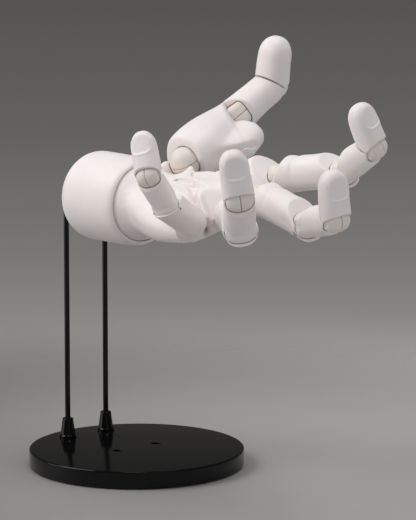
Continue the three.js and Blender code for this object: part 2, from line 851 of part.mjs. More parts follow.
// A hinge between two bones. The half on -Y stays with the near bone, the other one moves.
function addHinge(parent, name, place, size, angle, least, most) {
  const outline = barrelOutline(size);
  const near = addPiece(parent, name + "_near", knuckleHalf(outline, -1, -1), "knuckle");
  near.position.set(...place);
  const joint = addJoint(parent, name, place, bendAxis, angle, least, most);
  addPiece(joint, name + "_far", knuckleHalf(outline, 1, 1), "knuckle");
  return joint;
}

for (const finger of fingers) {
  const { name, bones, wide, thick, flex } = finger;
  const [out, closed] = finger.spreadRange;
  const way = Math.sign(closed - out);
  const swing = Z.clone().multiplyScalar(way);
  const limits = [way * finger.spread, way * out, way * closed];
  const spread = addJoint(palm, name + "_spread", finger.knuckle, swing, ...limits);
  const ball = ballOutline(ballRadius(finger));
  addPiece(spread, name + "_ball_near", knuckleHalf(ball, -1, 0), "knuckle");
  const flexion = addJoint(
    spread,
    name + "_knuckle",
    [0, 0, 0],
    bendAxis,
    flex[0],
    -knuckleBack,
    knuckleFlex,
  );
  addPiece(flexion, name + "_ball_far", knuckleHalf(ball, 1, 1), "knuckle");
  const peg = pegPlace(ball);
  const twist = addJoint(flexion, name + "_twist", [0, peg, 0], X, finger.turn, ...twistRange);
  const first = addFrame(twist, [0, -peg, 0], X, 0);
  addPiece(first, name + "_first_bone", makeFirstBone(finger), "skin");
  const middleSize = knuckleSize(wide[1], thick[1], middleWall);
  const second = addHinge(first, name + "_middle", [bones[0], 0, 0], middleSize, flex[1], 0, middleFlex);
  addPiece(second, name + "_middle_bone", makeMiddleBone(finger), "skin");
  const endSize = knuckleSize(wide[2], thick[2], endWall);
  const third = addHinge(second, name + "_end", [bones[1], 0, 0], endSize, flex[2], 0, tipFlex);
  addPiece(third, name + "_tip", makeTip(bones[2], wide[2], thick[2], tipFlex / 2 + bendRoom), "skin");
}

// The thumb: a ball at the palm, the broad base with the web, then two bones

const thumbKnuckleSize = {
  radius: thumbThick[1] / 2 - thumbKnuckleWall,
  half: thumbBarrel / 2,
  square: 4,
};

// Outlines of the thumb's base: distance from its root, side, half width, palm side, back.
function thumbBaseBlank() {
  const end = thumbBones[0];
  const body = [
    [0, 1, thumbWide[0] / 2, 12.5, 12.5],
    [7, 0.5, 15, 13.5, 13.5],
    [20, 0, 15.2, 14, 13],
    [34, 0, 12.8, 12.2, 11.6],
    [end - 6, 0, thumbWide[1] / 2 + 0.6, thumbThick[1] / 2 + 0.6, thumbThick[1] / 2 + 0.2],
    [end, 0, thumbWide[1] / 2, thumbThick[1] / 2, thumbThick[1] / 2],
  ];
  const web = [
    [6, -5, 5, 0.6],
    [14, -10, 8.5, 0.95],
    [24, -14.5, webReach - 15, 1],
    [34, -15.5, webReach - 15.5, 1],
    [41, -15, webReach - 17.5, 0.85],
    [45.5, -13.5, webReach - 21, 0.5],
  ];
  const bodyRings = body.map(([x, side, half, front, back]) => oval(x, side, half, front, back, 2.2, 18));
  const webRings = web.map(([x, side, half, deep]) =>
    oval(x, side, half, deep * webThickness, deep * webThickness, 2.2, 12),
  );
  return join(toSolid(skin(bodyRings)), toSolid(skin(webRings)));
}

function makeThumbBase() {
  const untwist = (geometry) => toSolid(geometry.rotateX(degrees(-thumbTwist)));
  const rolled = (geometry) => toSolid(geometry.rotateX(degrees(thumbRoll)));
  const size = thumbKnuckleSize;
  const end = thumbBones[0];
  const root = before(0.5 * thumbLiftRange[1] + 2, 4 - 0.5 * thumbLiftRange[0], axisGap);
  return cut(
    thumbBaseBlank(),
    untwist(root),
    untwist(ballSocket(thumbBallRadius)),
    untwist(pegHole(ballOutline(thumbBallRadius), 1, 1).rotateX(Math.PI / 2)),
    rolled(beyond(end, thumbMouth, thumbBack, axisGap)),
    rolled(barrelSocket(size).translate(end, 0, 0)),
    rolled(pegHole(barrelOutline(size), -1, -1).translate(end, 0, 0)),
  );
}

function makeThumbBone() {
  const rolled = (geometry) => toSolid(geometry.rotateX(degrees(thumbRoll)));
  const near = thumbKnuckleSize;
  const far = knuckleSize(thumbWide[2], thumbThick[2], endWall);
  const length = thumbBones[1];
  return cut(
    toSolid(skin(boneRings(length, thumbWide.slice(1), thumbThick.slice(1), 0.04))),
    rolled(before(thumbBoneCut, thumbBack, axisGap)),
    rolled(barrelSocket(near)),
    rolled(pegHole(barrelOutline(near), 1, 1)),
    toSolid(beyond(length, thumbTipRange[1] / 2 + bendRoom, endCup, axisGap)),
    toSolid(barrelSocket(far).translate(length, 0, 0)),
    toSolid(pegHole(barrelOutline(far), -1, -1).translate(length, 0, 0)),
  );
}

const thumbAimFrame = addFrame(palm, thumbRoot, Z, thumbAim);
const thumbBall = ballOutline(thumbBallRadius);
const thumbHalf = (side, peg) => knuckleHalf(thumbBall, side, peg).rotate([90, 0, 0]);
const thumbLiftJoint = addJoint(
  thumbAimFrame,
  "thumb_lift",
  [0, 0, 0],
  bendAxis,
  thumbLift,
  ...thumbLiftRange,
);
addPiece(thumbLiftJoint, "thumb_ball_near", thumbHalf(-1, 0), "knuckle");
const thumbSwingJoint = addJoint(thumbLiftJoint, "thumb_swing", [0, 0, 0], Z, thumbSwing, ...thumbSwingRange);
addPiece(thumbSwingJoint, "thumb_ball_far", thumbHalf(1, 1), "knuckle");
const thumbBase = addFrame(thumbSwingJoint, [0, 0, 0], X, thumbTwist);
addPiece(thumbBase, "thumb_base", makeThumbBase(), "skin");
const thumbFirst = addHinge(
  addFrame(thumbBase, [thumbBones[0], 0, 0], X, thumbRoll),
  "thumb_knuckle",
  [0, 0, 0],
  thumbKnuckleSize,
  thumbKnuckle,
  ...thumbKnuckleRange,
);
const thumbShaft = addFrame(thumbFirst, [0, 0, 0], X, -thumbRoll);
addPiece(thumbShaft, "thumb_bone", makeThumbBone(), "skin");
const thumbEnd = addHinge(
  thumbShaft,
  "thumb_end",
  [thumbBones[1], 0, 0],
  knuckleSize(thumbWide[2], thumbThick[2], endWall),
  thumbTipBend,
  ...thumbTipRange,
);
const thumbTipCut = thumbTipRange[1] / 2 + bendRoom;
addPiece(thumbEnd, "thumb_tip", makeTip(thumbBones[2], thumbWide[2], thumbThick[2], thumbTipCut), "skin");

export default handModel;
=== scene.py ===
import json
import math

import bpy
import numpy as np
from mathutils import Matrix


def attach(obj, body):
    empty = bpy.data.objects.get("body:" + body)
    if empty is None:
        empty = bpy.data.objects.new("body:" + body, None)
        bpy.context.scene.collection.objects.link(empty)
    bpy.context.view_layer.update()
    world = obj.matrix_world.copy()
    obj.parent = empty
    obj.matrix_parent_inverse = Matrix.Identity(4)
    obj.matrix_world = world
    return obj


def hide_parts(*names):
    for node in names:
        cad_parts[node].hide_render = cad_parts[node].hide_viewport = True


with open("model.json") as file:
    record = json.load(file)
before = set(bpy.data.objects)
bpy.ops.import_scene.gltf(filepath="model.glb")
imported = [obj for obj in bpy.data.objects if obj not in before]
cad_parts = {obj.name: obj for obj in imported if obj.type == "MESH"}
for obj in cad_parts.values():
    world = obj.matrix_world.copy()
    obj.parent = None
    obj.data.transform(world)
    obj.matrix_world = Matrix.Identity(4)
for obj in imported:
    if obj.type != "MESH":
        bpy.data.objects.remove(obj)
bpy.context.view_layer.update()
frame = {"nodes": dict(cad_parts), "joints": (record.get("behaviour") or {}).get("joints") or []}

import openvdb
from mathutils import Matrix, Vector

scene = bpy.context.scene
scene.view_settings.view_transform = "Standard"

# Camera
# A long lens stands in front of the fingers, a little to the little finger's side,
# and looks slightly down on the open palm.
camera_data = bpy.data.cameras.new("camera")
camera_data.sensor_width = 36
camera_data.lens = 207.7
camera_data.clip_end = 20
camera = bpy.data.objects.new("camera", camera_data)
scene.collection.objects.link(camera)
scene.camera = camera
look_azimuth, look_elevation = math.radians(49.6), math.radians(9.57)
towards = Vector((
    math.sin(look_azimuth) * math.cos(look_elevation),
    -math.cos(look_azimuth) * math.cos(look_elevation),
    math.sin(look_elevation),
))
across = Vector((math.cos(look_azimuth), math.sin(look_azimuth), 0))
upwards = towards.cross(across)
turn = Matrix((across, upwards, towards)).transposed()
camera.matrix_world = Matrix.Translation((1.27113, -1.02958, 0.39154)) @ turn.to_4x4()


# Moulded white plastic
# The hand is injection moulded in a satin white plastic that is a little warm, and so
# slightly clear that light softens in its folds. Its surface has a faint moulded grain.
def new_node(nodes, kind, **inputs):
    """A node with these values on its inputs, whose names have _ for a space."""
    node = nodes.new(kind)
    for name, value in inputs.items():
        node.inputs[name.replace("_", " ")].default_value = value
    return node


def join(links, *wires):
    """Links from each node and its output to each node and its input."""
    for start, output, end, socket in wires:
        links.new(start.outputs[output], end.inputs[socket])


def two_tone(nodes, dark, pale, start=0.0, end=1.0):
    """A ramp between two colours."""
    ramp = nodes.new("ShaderNodeValToRGB")
    for stop, at, colour in zip(ramp.color_ramp.elements, (start, end), (dark, pale)):
        stop.position, stop.color = at, (*colour, 1)
    return ramp


def new_material(name):
    """A material, with its nodes, its links, its shader and a node for the object's place."""
    material = bpy.data.materials.new(name)
    material.use_nodes = True
    nodes, links = material.node_tree.nodes, material.node_tree.links
    return material, nodes, links, nodes["Principled BSDF"], nodes.new("ShaderNodeTexCoord")


def moulded_plastic(name, light, shade, rough, soft):
    material, nodes, links, shader, place = new_material(name)
    cloud = new_node(nodes, "ShaderNodeTexNoise", Scale=55, Detail=3)
    tone = two_tone(nodes, shade, light, 0.35, 0.62)
    patch = new_node(nodes, "ShaderNodeTexNoise", Scale=240, Detail=4)
    gloss = new_node(nodes, "ShaderNodeMapRange", To_Min=rough - 0.07, To_Max=rough + 0.07)
    grain = new_node(nodes, "ShaderNodeTexNoise", Scale=2600, Detail=2)
    bump = new_node(nodes, "ShaderNodeBump", Strength=0.12, Distance=0.00008)
    join(
        links,
        (place, "Object", cloud, "Vector"),
        (place, "Object", patch, "Vector"),
        (place, "Object", grain, "Vector"),
        (cloud, "Fac", tone, "Fac"),
        (tone, "Color", shader, "Base Color"),
        (patch, "Fac", gloss, "Value"),
        (gloss, "Result", shader, "Roughness"),
        (grain, "Fac", bump, "Height"),
        (bump, "Normal", shader, "Normal"),
    )
    shader.inputs["Subsurface Weight"].default_value = soft
    shader.inputs["Subsurface Radius"].default_value = (1.0, 0.5, 0.35)
    shader.inputs["Subsurface Scale"].default_value = 0.0012
    shader.inputs["Specular IOR Level"].default_value = 0.42
    return material


skin_plastic = moulded_plastic(
    "satin_white_plastic", (0.86, 0.80, 0.785), (0.835, 0.77, 0.752), 0.46, 0.16
)
knuckle_plastic = moulded_plastic(
    "satin_ivory_plastic", (0.80, 0.735, 0.68), (0.765, 0.695, 0.64), 0.44, 0.1
)


# Gloss black finish of the stand
# Base, rods and ferrules are black and highly polished, with the faint waviness and fine
# polishing haze of such a finish.
def gloss_black(name, wave_scale):
    material, nodes, links, shader, place = new_material(name)
    shader.inputs["Specular IOR Level"].default_value = 0.27
    haze = new_node(nodes, "ShaderNodeTexNoise", Scale=30, Detail=5)
    tone = two_tone(nodes, (0.0022, 0.0022, 0.0023), (0.004, 0.004, 0.0042))
    gloss = new_node(nodes, "ShaderNodeMapRange", To_Min=0.07, To_Max=0.17)
    wave = new_node(nodes, "ShaderNodeTexNoise", Scale=wave_scale, Detail=1)
    bump = new_node(nodes, "ShaderNodeBump", Strength=0.05, Distance=0.0002)
    join(
        links,
        (place, "Object", haze, "Vector"),
        (place, "Object", wave, "Vector"),
        (haze, "Fac", tone, "Fac"),
        (tone, "Color", shader, "Base Color"),
        (haze, "Fac", gloss, "Value"),
        (gloss, "Result", shader, "Roughness"),
        (wave, "Fac", bump, "Height"),
        (bump, "Normal", shader, "Normal"),
    )
    return material


black_gloss = gloss_black("gloss_black", 60)


# Base
# A round disc of black plastic with a thin rounded edge above and a small one below. It
# stands on a thin rubber pad, and holds two spare rod holes at its middle.
def finish_piece(name, mesh, material, body, node):
    """The object of a mesh, which rides on a body and stands for its nodes."""
    mesh.materials.clear()
    mesh.materials.append(material)
    piece = bpy.data.objects.new(name, mesh)
    scene.collection.objects.link(piece)
    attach(piece, body)
    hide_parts(*([node] if isinstance(node, str) else node))
    return piece


def turned_mesh(name, profile, steps, axis="Z"):
    """A closed outline of (radius, distance) in millimetres, turned once about an axis."""
    profile = np.array(profile, float) / 1000
    angles = np.linspace(0, 2 * math.pi, steps, endpoint=False)
    radius, along = profile[:, 0], profile[:, 1]
    a = np.outer(np.cos(angles), radius)
    b = np.outer(np.sin(angles), radius)
    c = np.broadcast_to(along, a.shape)
    order = {"Z": (a, b, c), "X": (c, a, b), "Y": (b, c, a)}[axis]
    points = np.stack(order, axis=-1).reshape(-1, 3)
    count = len(profile)
    faces = []
    for i in range(steps):
        j = (i + 1) % steps
        for k in range(count - 1):
            faces.append((i * count + k, j * count + k, j * count + k + 1, i * count + k + 1))
    mesh = bpy.data.meshes.new(name)
    mesh.from_pydata(points.tolist(), [], faces)
    return tidy_mesh(mesh)


def tidy_mesh(mesh, sharp=32):
    """Merges what meets at the poles, turns the faces outwards and smooths the shading."""
    import bmesh

    work = bmesh.new()
    work.from_mesh(mesh)
    bmesh.ops.remove_doubles(work, verts=work.verts, dist=1e-7)
    bmesh.ops.dissolve_degenerate(work, edges=work.edges, dist=1e-8)
    bmesh.ops.recalc_face_normals(work, faces=work.faces)
    work.to_mesh(mesh)
    work.free()
    mesh.polygons.foreach_set("use_smooth", [True] * len(mesh.polygons))
    mesh.set_sharp_from_angle(angle=math.radians(sharp))
    mesh.update()
    return mesh


def fillet(radius, along, size, start, end, steps=6):
    """Points of an arc about (radius, along), in degrees from the outward direction."""
    turns = np.radians(np.linspace(start, end, steps + 1))
    return [(radius + size * math.cos(t), along + size * math.sin(t)) for t in turns]


base_radius, base_top, base_foot = 60, 10, 0.8
spare_hole, rod_spacing, rod_setback, rod_radius = 2.6, 27.4, 45, 1.5
pad_radius, pad_room = 52, 2.3


def plain_mesh(thing):
    """The mesh that an object's modifiers make."""
    made = thing.evaluated_get(bpy.context.evaluated_depsgraph_get())
    return bpy.data.meshes.new_from_object(made)


def drilled(mesh, cutters):
    """Cuts the cutters out of a mesh, and tidies what is left."""
    block = bpy.data.objects.new("block", mesh)
    scene.collection.objects.link(block)
    for cutter in cutters:
        tool = bpy.data.objects.new("tool", cutter)
        scene.collection.objects.link(tool)
        cut = block.modifiers.new("cut", "BOOLEAN")
        cut.operation, cut.solver, cut.object = "DIFFERENCE", "EXACT", tool
    bpy.context.view_layer.update()
    made = plain_mesh(block)
    for thing in [m.object for m in block.modifiers] + [block]:
        bpy.data.objects.remove(thing)
    return tidy_mesh(made)


def hole(radius, low, high, x, y, along="Z", chamfer=0.0, steps=40):
    """A drill's shape, with a small countersink at its high end."""
    wide = radius + chamfer
    profile = [(0, low), (radius, low), (radius, high - chamfer), (wide, high)]
    profile += [(wide, high + 1), (0, high + 1)]
    mesh = turned_mesh("hole", profile, steps, along)
    mesh.transform(Matrix.Translation((x / 1000, y / 1000, 0)))
    return mesh


base_profile = [
    (0, base_foot + pad_room),
    (pad_radius + 0.3, base_foot + pad_room),
    (pad_radius + 0.3, base_foot),
    *fillet(base_radius - 0.5, base_foot + 0.5, 0.5, -90, 0, 3),
    *fillet(base_radius - 0.9, base_top - 0.9, 0.9, 0, 90, 6),
    (0, base_top),
]
rod_sides = (-rod_spacing / 2, rod_spacing / 2)
base_holes = [hole(spare_hole, -1, base_top, 0, y, chamfer=0.25) for y in rod_sides]
base_holes += [hole(rod_radius + 0.3, base_top - 5, base_top, -rod_setback, y) for y in rod_sides]
base_mesh = drilled(turned_mesh("base", base_profile, 160), base_holes)
finish_piece("base", base_mesh, black_gloss, "stand", "base_disc")

# Pad under the base
# A disc of black rubber, pressed into the base's underside.
rubber, nodes, links, shader, place = new_material("black_rubber")
grain = new_node(nodes, "ShaderNodeTexNoise", Scale=900)
tone = two_tone(nodes, (0.018, 0.018, 0.019), (0.035, 0.035, 0.036))
bump = new_node(nodes, "ShaderNodeBump", Distance=0.0001)
join(
    links,
    (place, "Object", grain, "Vector"),
    (grain, "Fac", tone, "Fac"),
    (tone, "Color", shader, "Base Color"),
    (grain, "Fac", bump, "Height"),
    (bump, "Normal", shader, "Normal"),
)
shader.inputs["Roughness"].default_value = 0.85
pad_profile = [(0, 0), *fillet(pad_radius - 0.4, 0.4, 0.4, -90, 0, 3), (pad_radius, 2), (0, 2)]
pad_holes = [hole(spare_hole, -1, 2.5, 0, y) for y in rod_sides]
pad_mesh = drilled(turned_mesh("pad", pad_profile, 120), pad_holes)
finish_piece("pad", pad_mesh, rubber, "stand", "base_pad")

# Rods
# Two black steel rods rise from the base and bend over into the back of the cuff. A node
# tree sweeps each along its own path.
wrist_height, cuff_back, rod_bend, rod_plug = 148.6, 40.8, 4, 7


def new_tree(name, floats, vectors=()):
    """A node group with these inputs and a material, and its nodes, links and inputs."""
    tree = bpy.data.node_groups.new(name, "GeometryNodeTree")
    face = tree.interface
    face.new_socket("Geometry", in_out="OUTPUT", socket_type="NodeSocketGeometry")
    for label in floats:
        face.new_socket(label, in_out="INPUT", socket_type="NodeSocketFloat")
    for label in vectors:
        face.new_socket(label, in_out="INPUT", socket_type="NodeSocketVector")
    face.new_socket("Material", in_out="INPUT", socket_type="NodeSocketMaterial")
    return tree, tree.nodes, tree.links, tree.nodes.new("NodeGroupInput")


def end_tree(tree, given, last, output):
    """Realizes what the last node makes, paints it and sends it out."""
    real = tree.nodes.new("GeometryNodeRealizeInstances")
    painted = tree.nodes.new("GeometryNodeSetMaterial")
    join(
        tree.links,
        (last, output, real, "Geometry"),
        (real, "Geometry", painted, "Geometry"),
        (given, "Material", painted, "Material"),
        (painted, "Geometry", tree.nodes.new("NodeGroupOutput"), "Geometry"),
    )
    return tree


def rod_tree():
    labels = ("Foot", "Corner", "End")
    tree, nodes, links, given = new_tree("bent_rod", ("Radius", "Bend"), labels)
    joined = nodes.new("GeometryNodeJoinGeometry")
    for start, end in (("Corner", "End"), ("Foot", "Corner")):
        leg = nodes.new("GeometryNodeCurvePrimitiveLine")
        as_mesh = nodes.new("GeometryNodeCurveToMesh")
        join(
            links,
            (given, start, leg, "Start"),
            (given, end, leg, "End"),
            (leg, "Curve", as_mesh, "Curve"),
            (as_mesh, "Mesh", joined, "Geometry"),
        )
    merged = new_node(nodes, "GeometryNodeMergeByDistance", Distance=1e-5)
    path = nodes.new("GeometryNodeMeshToCurve")
    rounded = nodes.new("GeometryNodeFilletCurve")
    rounded.mode = "POLY"
    rounded.inputs["Count"].default_value = 14
    ring = new_node(nodes, "GeometryNodeCurvePrimitiveCircle", Resolution=32)
    sweep = new_node(nodes, "GeometryNodeCurveToMesh", Fill_Caps=True)
    join(
        links,
        (joined, "Geometry", merged, "Geometry"),
        (merged, "Geometry", path, "Mesh"),
        (path, "Curve", rounded, "Curve"),
        (given, "Bend", rounded, "Radius"),
        (given, "Radius", ring, "Radius"),
        (rounded, "Curve", sweep, "Curve"),
        (ring, "Curve", sweep, "Profile Curve"),
    )
    return end_tree(tree, given, sweep, "Mesh")


def from_tree(tree, values):
    """Runs a node tree on an empty mesh with these inputs, and returns the plain mesh."""
    holder = bpy.data.objects.new("holder", bpy.data.meshes.new("holder"))
    scene.collection.objects.link(holder)
    modifier = holder.modifiers.new("nodes", "NODES")
    modifier.node_group = tree
    for item in tree.interface.items_tree:
        if item.item_type == "SOCKET" and item.in_out == "INPUT" and item.name in values:
            modifier[item.identifier] = values[item.name]
    holder.update_tag()
    bpy.context.view_layer.update()
    made = plain_mesh(holder)
    bpy.data.objects.remove(holder)
    return made


bent_rod = rod_tree()
for y, name in zip(rod_sides, ("rod_left", "rod_right")):
    rod_mesh = from_tree(bent_rod, {
        "Radius": rod_radius / 1000,
        "Bend": rod_bend / 1000,
        "Foot": (-rod_setback / 1000, y / 1000, (base_top - 4.7) / 1000),
        "Corner": (-rod_setback / 1000, y / 1000, wrist_height / 1000),
        "End": ((rod_plug - cuff_back) / 1000, y / 1000, wrist_height / 1000),
        "Material": black_gloss,
    })
    finish_piece("stand_" + name, tidy_mesh(rod_mesh), black_gloss, "stand", name)

# Ferrules
# Two cones of black plastic grip the rods where they enter the base. Each has a narrow
# flange at its foot and a rounded top.
ferrule_profile = [
    (1.62, base_top + 0.02),
    (4.6, base_top + 0.02),
    (4.8, base_top + 0.2),
    (4.8, base_top + 1.0),
    (4.55, base_top + 1.25),
    (4.3, base_top + 1.5),
    (3.05, base_top + 10.3),
    *fillet(2.5, base_top + 10.4, 0.6, 0, 90, 5),
    (1.62, base_top + 11),
    (1.62, base_top + 0.02),
]
for y, name in zip(rod_sides, ("ferrule_left", "ferrule_right")):
    ferrule = turned_mesh("ferrule", ferrule_profile, 64)
    ferrule.transform(Matrix.Translation((-rod_setback / 1000, y / 1000, 0)))
    finish_piece("rod_" + name, ferrule, black_gloss, "stand", name)

# Cuff
# The stub of a forearm, moulded like a barrel with a domed back. Its mouth has a broad
# rounded lip, and a bowl that the heel of the hand turns in.
cuff_radius, cuff_front, heel_radius = 24.8, 6.7, 22
bowl = heel_radius + 0.4
mouth = math.sqrt(bowl**2 - cuff_front**2)
bowl_end = 20.2
bowl_steps = np.linspace(cuff_front, -math.sqrt(bowl**2 - bowl_end**2), 10)[1:]
cuff_profile = [
    (0, -cuff_back),
    (13.2, -cuff_back),
    *fillet(cuff_radius - 9.6, -cuff_back + 9.6, 9.6, -78, 0, 14),
    (cuff_radius + 0.05, -24),
    (cuff_radius, -16),
    (cuff_radius - 0.12, -8),
    (cuff_radius - 0.35, -1),
    (cuff_radius - 0.62, 2.6),
    (cuff_radius - 0.95, 4.3),
    (cuff_radius - 1.45, 5.7),
    (cuff_radius - 2.1, 6.6),
    (cuff_radius - 2.7, 6.95),
    (mouth + 0.35, 6.9),
    (mouth, 6.5),
    *[(math.sqrt(bowl**2 - x**2), x) for x in bowl_steps],
    (bowl_end, -29.8),
    (0, -29.8),
]
hub_hole = hole(5.4, -37.8, -29, 0, 0, "X")
rod_end = -cuff_back + rod_plug + 0.3
rod_holes = [hole(rod_radius + 0.12, -cuff_back - 2, rod_end, 0, y, "X") for y in rod_sides]
cuff_mesh = drilled(turned_mesh("cuff", cuff_profile, 160, "X"), [hub_hole, *rod_holes])
cuff_mesh.transform(Matrix.Translation((0, 0, wrist_height / 1000)))
finish_piece("forearm_cuff", cuff_mesh, skin_plastic, "stand", "cuff")

# Wrist
# Inside the cuff and the heel, out of sight, a steel hub turns and a steel cross rocks.
steel, nodes, links, shader, place = new_material("turned_steel")
lines = new_node(nodes, "ShaderNodeTexWave", Scale=800)
gloss = new_node(nodes, "ShaderNodeMapRange", To_Min=0.25, To_Max=0.4)
join(
    links,
    (place, "Object", lines, "Vector"),
    (lines, "Fac", gloss, "Value"),
    (gloss, "Result", shader, "Roughness"),
)
shader.inputs["Base Color"].default_value = (0.42, 0.43, 0.45, 1)
shader.inputs["Metallic"].default_value = 1
for node in ("wrist_hub", "wrist_cross"):
    frame["nodes"][node].material_slots[0].material = steel

# Palm
# The hand's flat and its heel dome are one moulding. It has a rounded pad at each finger's
# root, the ball of the thumb, folds across the hollow of the palm, and cups for the fingers.
def soft_max(a, b, size):
    """The larger of two distances, rounded where they meet."""
    near = np.maximum(size - np.abs(a - b), 0) / size
    return np.maximum(a, b) + near * near * size / 4


def soft_min(a, b, size):
    return -soft_max(-a, -b, size)


def curve(x, places, values):
    """A smooth line through the values at these places, level beyond the ends."""
    places, values = np.array(places, float), np.array(values, float)
    slopes = np.gradient(values, places)
    slopes[0] = slopes[-1] = 0
    x = np.clip(x, places[0], places[-1])
    k = np.clip(np.searchsorted(places, x, side="right") - 1, 0, len(places) - 2)
    step = (places[1:] - places[:-1])[k]
    t = (x - places[k]) / step
    rise = (values[k + 1] - values[k]) * (3 * t**2 - 2 * t**3)
    bend = step * (slopes[k] * (t**3 - 2 * t**2 + t) + slopes[k + 1] * (t**3 - t**2))
    return (values[k] + rise + bend).astype(np.float32)


def oval(y, z, half, palm, back, square=2.3, ahead=0.0):
    """Distance to a rounded section, with one height to the palm and another to the back."""
    high = np.where(z > 0, palm, back)
    total = np.abs(y / half) ** square + np.abs(z / high) ** square
    if not np.isscalar(ahead):
        total = total + ahead**square
    return (total ** (1 / square) - 1) * np.minimum(half, high)


def wedge(x, z, palm_cut, back_cut, gap):
    """Distance into what lies before a hinge, with a slope to the palm and one to the back."""
    p, b = math.radians(palm_cut), math.radians(back_cut)
    palm_side = (gap - x) * math.cos(p) + z * math.sin(p)
    back_side = (gap - x) * math.cos(b) - z * math.sin(b)
    return np.maximum(palm_side, back_side)


def field_mesh(name, field, low, high, step, place):
    """The skin of a field of distances in millimetres, negative inside, on a fine grid."""
    axes = [np.arange(a, b + step, step, dtype=np.float32) for a, b in zip(low, high)]
    values = field(*np.meshgrid(*axes, indexing="ij", sparse=True))
    values = np.ascontiguousarray(values, np.float32)
    grid = openvdb.FloatGrid(5.0)
    grid.copyFromArray(values)
    points, quads = grid.convertToQuads(0.0)
    points = points * step + np.array(low)
    mesh = bpy.data.meshes.new(name)
    mesh.vertices.add(len(points))
    mesh.vertices.foreach_set("co", (points / 1000).astype(np.float32).ravel())
    mesh.loops.add(len(quads) * 4)
    mesh.loops.foreach_set("vertex_index", quads.astype(np.int32).ravel())
    mesh.polygons.add(len(quads))
    mesh.polygons.foreach_set("loop_start", np.arange(0, 4 * len(quads), 4, dtype=np.int32))
    mesh.update(calc_edges=True)
    a, b, c, d = (points[quads[:, k]] for k in range(4))
    if np.sum(a * (np.cross(b, c) + np.cross(c, d))) < 0:
        mesh.flip_normals()
    mesh.validate()
    mesh.transform(place)
    mesh.polygons.foreach_set("use_smooth", [True] * len(mesh.polygons))
    return mesh


joints = {joint["name"]: joint for joint in frame["joints"]}


def joint_place(name):
    return Vector(joints[name]["pos_m"])


def joint_axis(name):
    return Vector(joints[name]["axis"]).normalized()


def frame_at(place, along, hinge):
    """The frame of a piece: X along the bone, Y across, against the hinge, Z to the palm."""
    y = -hinge.normalized()
    x = (along - y * along.dot(y)).normalized()
    z = x.cross(y)
    return Matrix.Translation(place) @ Matrix((x, y, z)).transposed().to_4x4()


def turned_frame(place, hinge, along, bend):
    """The frame past a hinge that is bent by so many degrees."""
    return frame_at(place, Matrix.Rotation(math.radians(bend), 3, hinge) @ along, hinge)


palm_place = joint_place("wrist_sway")
palm_up = joint_axis("wrist_sway")
palm_along = -joint_axis("wrist_bend").cross(palm_up)
palm_along = Matrix.Rotation(math.radians(3.6), 3, palm_up) @ palm_along
palm_frame = frame_at(palm_place, palm_along, palm_along.cross(palm_up))
fingers = {
    "index": dict(
        root=(94, 25, 2.8), bones=(44, 27.6, 25.2), wide=(17.8, 17.4, 15.6),
        thick=(19.6, 17.6, 14.2), aim=4, swings=(22, -4),
    ),
    "middle": dict(
        root=(96, 5.5, 0), bones=(47, 29, 26.8), wide=(18.2, 17.6, 16),
        thick=(20, 17.4, 14.6), aim=-2, swings=(-22, 0),
    ),
    "ring": dict(
        root=(91, -13.5, 0), bones=(43, 28, 26.2), wide=(17.6, 18.6, 16.4),
        thick=(19.4, 17.6, 14.4), aim=-12, swings=(-42, -9),
    ),
    "little": dict(
        root=(82, -31.5, 3), bones=(34.5, 21.5, 24), wide=(16.2, 15.6, 14.2),
        thick=(17.6, 15.2, 12.8), aim=-22, swings=(-64, -10),
    ),
}
ball_wall, root_gap, turn_gap = 2.4, 0.9, 0.4
thumb_root, thumb_aim, thumb_out, thumb_ball = (22, 25, 11.5), 88, 95.4, 8.6


def turned_by(x, y, place, degrees):
    """The coordinates along and across a direction in the palm, from a place."""
    c, s = math.cos(math.radians(degrees)), math.sin(math.radians(degrees))
    u, v = x - place[0], y - place[1]
    return c * u + s * v, c * v - s * u


def line_distance(x, y, points):
    """The distance to a drawn line, the side of it (left is positive) and how far along."""
    best = np.full(np.broadcast(x, y).shape, 1e3, np.float32)
    side, along = np.zeros_like(best), np.zeros_like(best)
    lengths = [math.dist(a, b) for a, b in zip(points, points[1:])]
    total, done = sum(lengths), 0
    for (ax, ay), (bx, by), length in zip(points, points[1:], lengths):
        ux, uy = (bx - ax) / length, (by - ay) / length
        t = np.clip((x - ax) * ux + (y - ay) * uy, 0, length)
        dx, dy = x - ax - t * ux, y - ay - t * uy
        far = np.sqrt(dx * dx + dy * dy)
        nearer = far < best
        best = np.where(nearer, far, best)
        side = np.where(nearer, ux * dy - uy * dx, side)
        along = np.where(nearer, (done + t) / total, along)
        done += length
    return best, np.where(side < 0, -best, best), along


def smooth_line(points, count=24):
    """Points of a soft curve through a few drawn points."""
    t = np.linspace(0, len(points) - 1, count).astype(np.float32)
    at = np.arange(len(points))
    return list(zip(*(curve(t, at, [p[k] for p in points]).tolist() for k in (0, 1))))


def groove(x, y, points, wide, deep):
    """A crease along a line, which runs out at both of its ends."""
    far, _, along = line_distance(x, y, smooth_line(points))
    fade = np.sqrt(np.clip(np.sin(np.pi * along), 0, 1))
    return deep * fade * np.exp(-((far / wide) ** 2))


def fold(x, y, points, rise, reach):
    """A lip of skin on the left of a line, that falls away sharply on the right of it."""
    _, side, along = line_distance(x, y, smooth_line(points))
    fade = np.sqrt(np.clip(np.sin(np.pi * along), 0, 1))
    edge = np.clip(side / 1.4 + 0.5, 0, 1)
    edge = edge * edge * (3 - 2 * edge)
    trench = 0.7 * np.exp(-(((side + 1.5) / 1.3) ** 2))
    return rise * fade * (trench - edge * np.exp(-np.maximum(side, 0) / reach))


def pad_of(x, y, centre, half, turn_to, rise):
    """A soft raised pad on the palm."""
    u, v = turned_by(x, y, centre, turn_to)
    far = (u / half[0]) ** 2 + (v / half[1]) ** 2
    return -rise * np.exp(-(far**1.5))


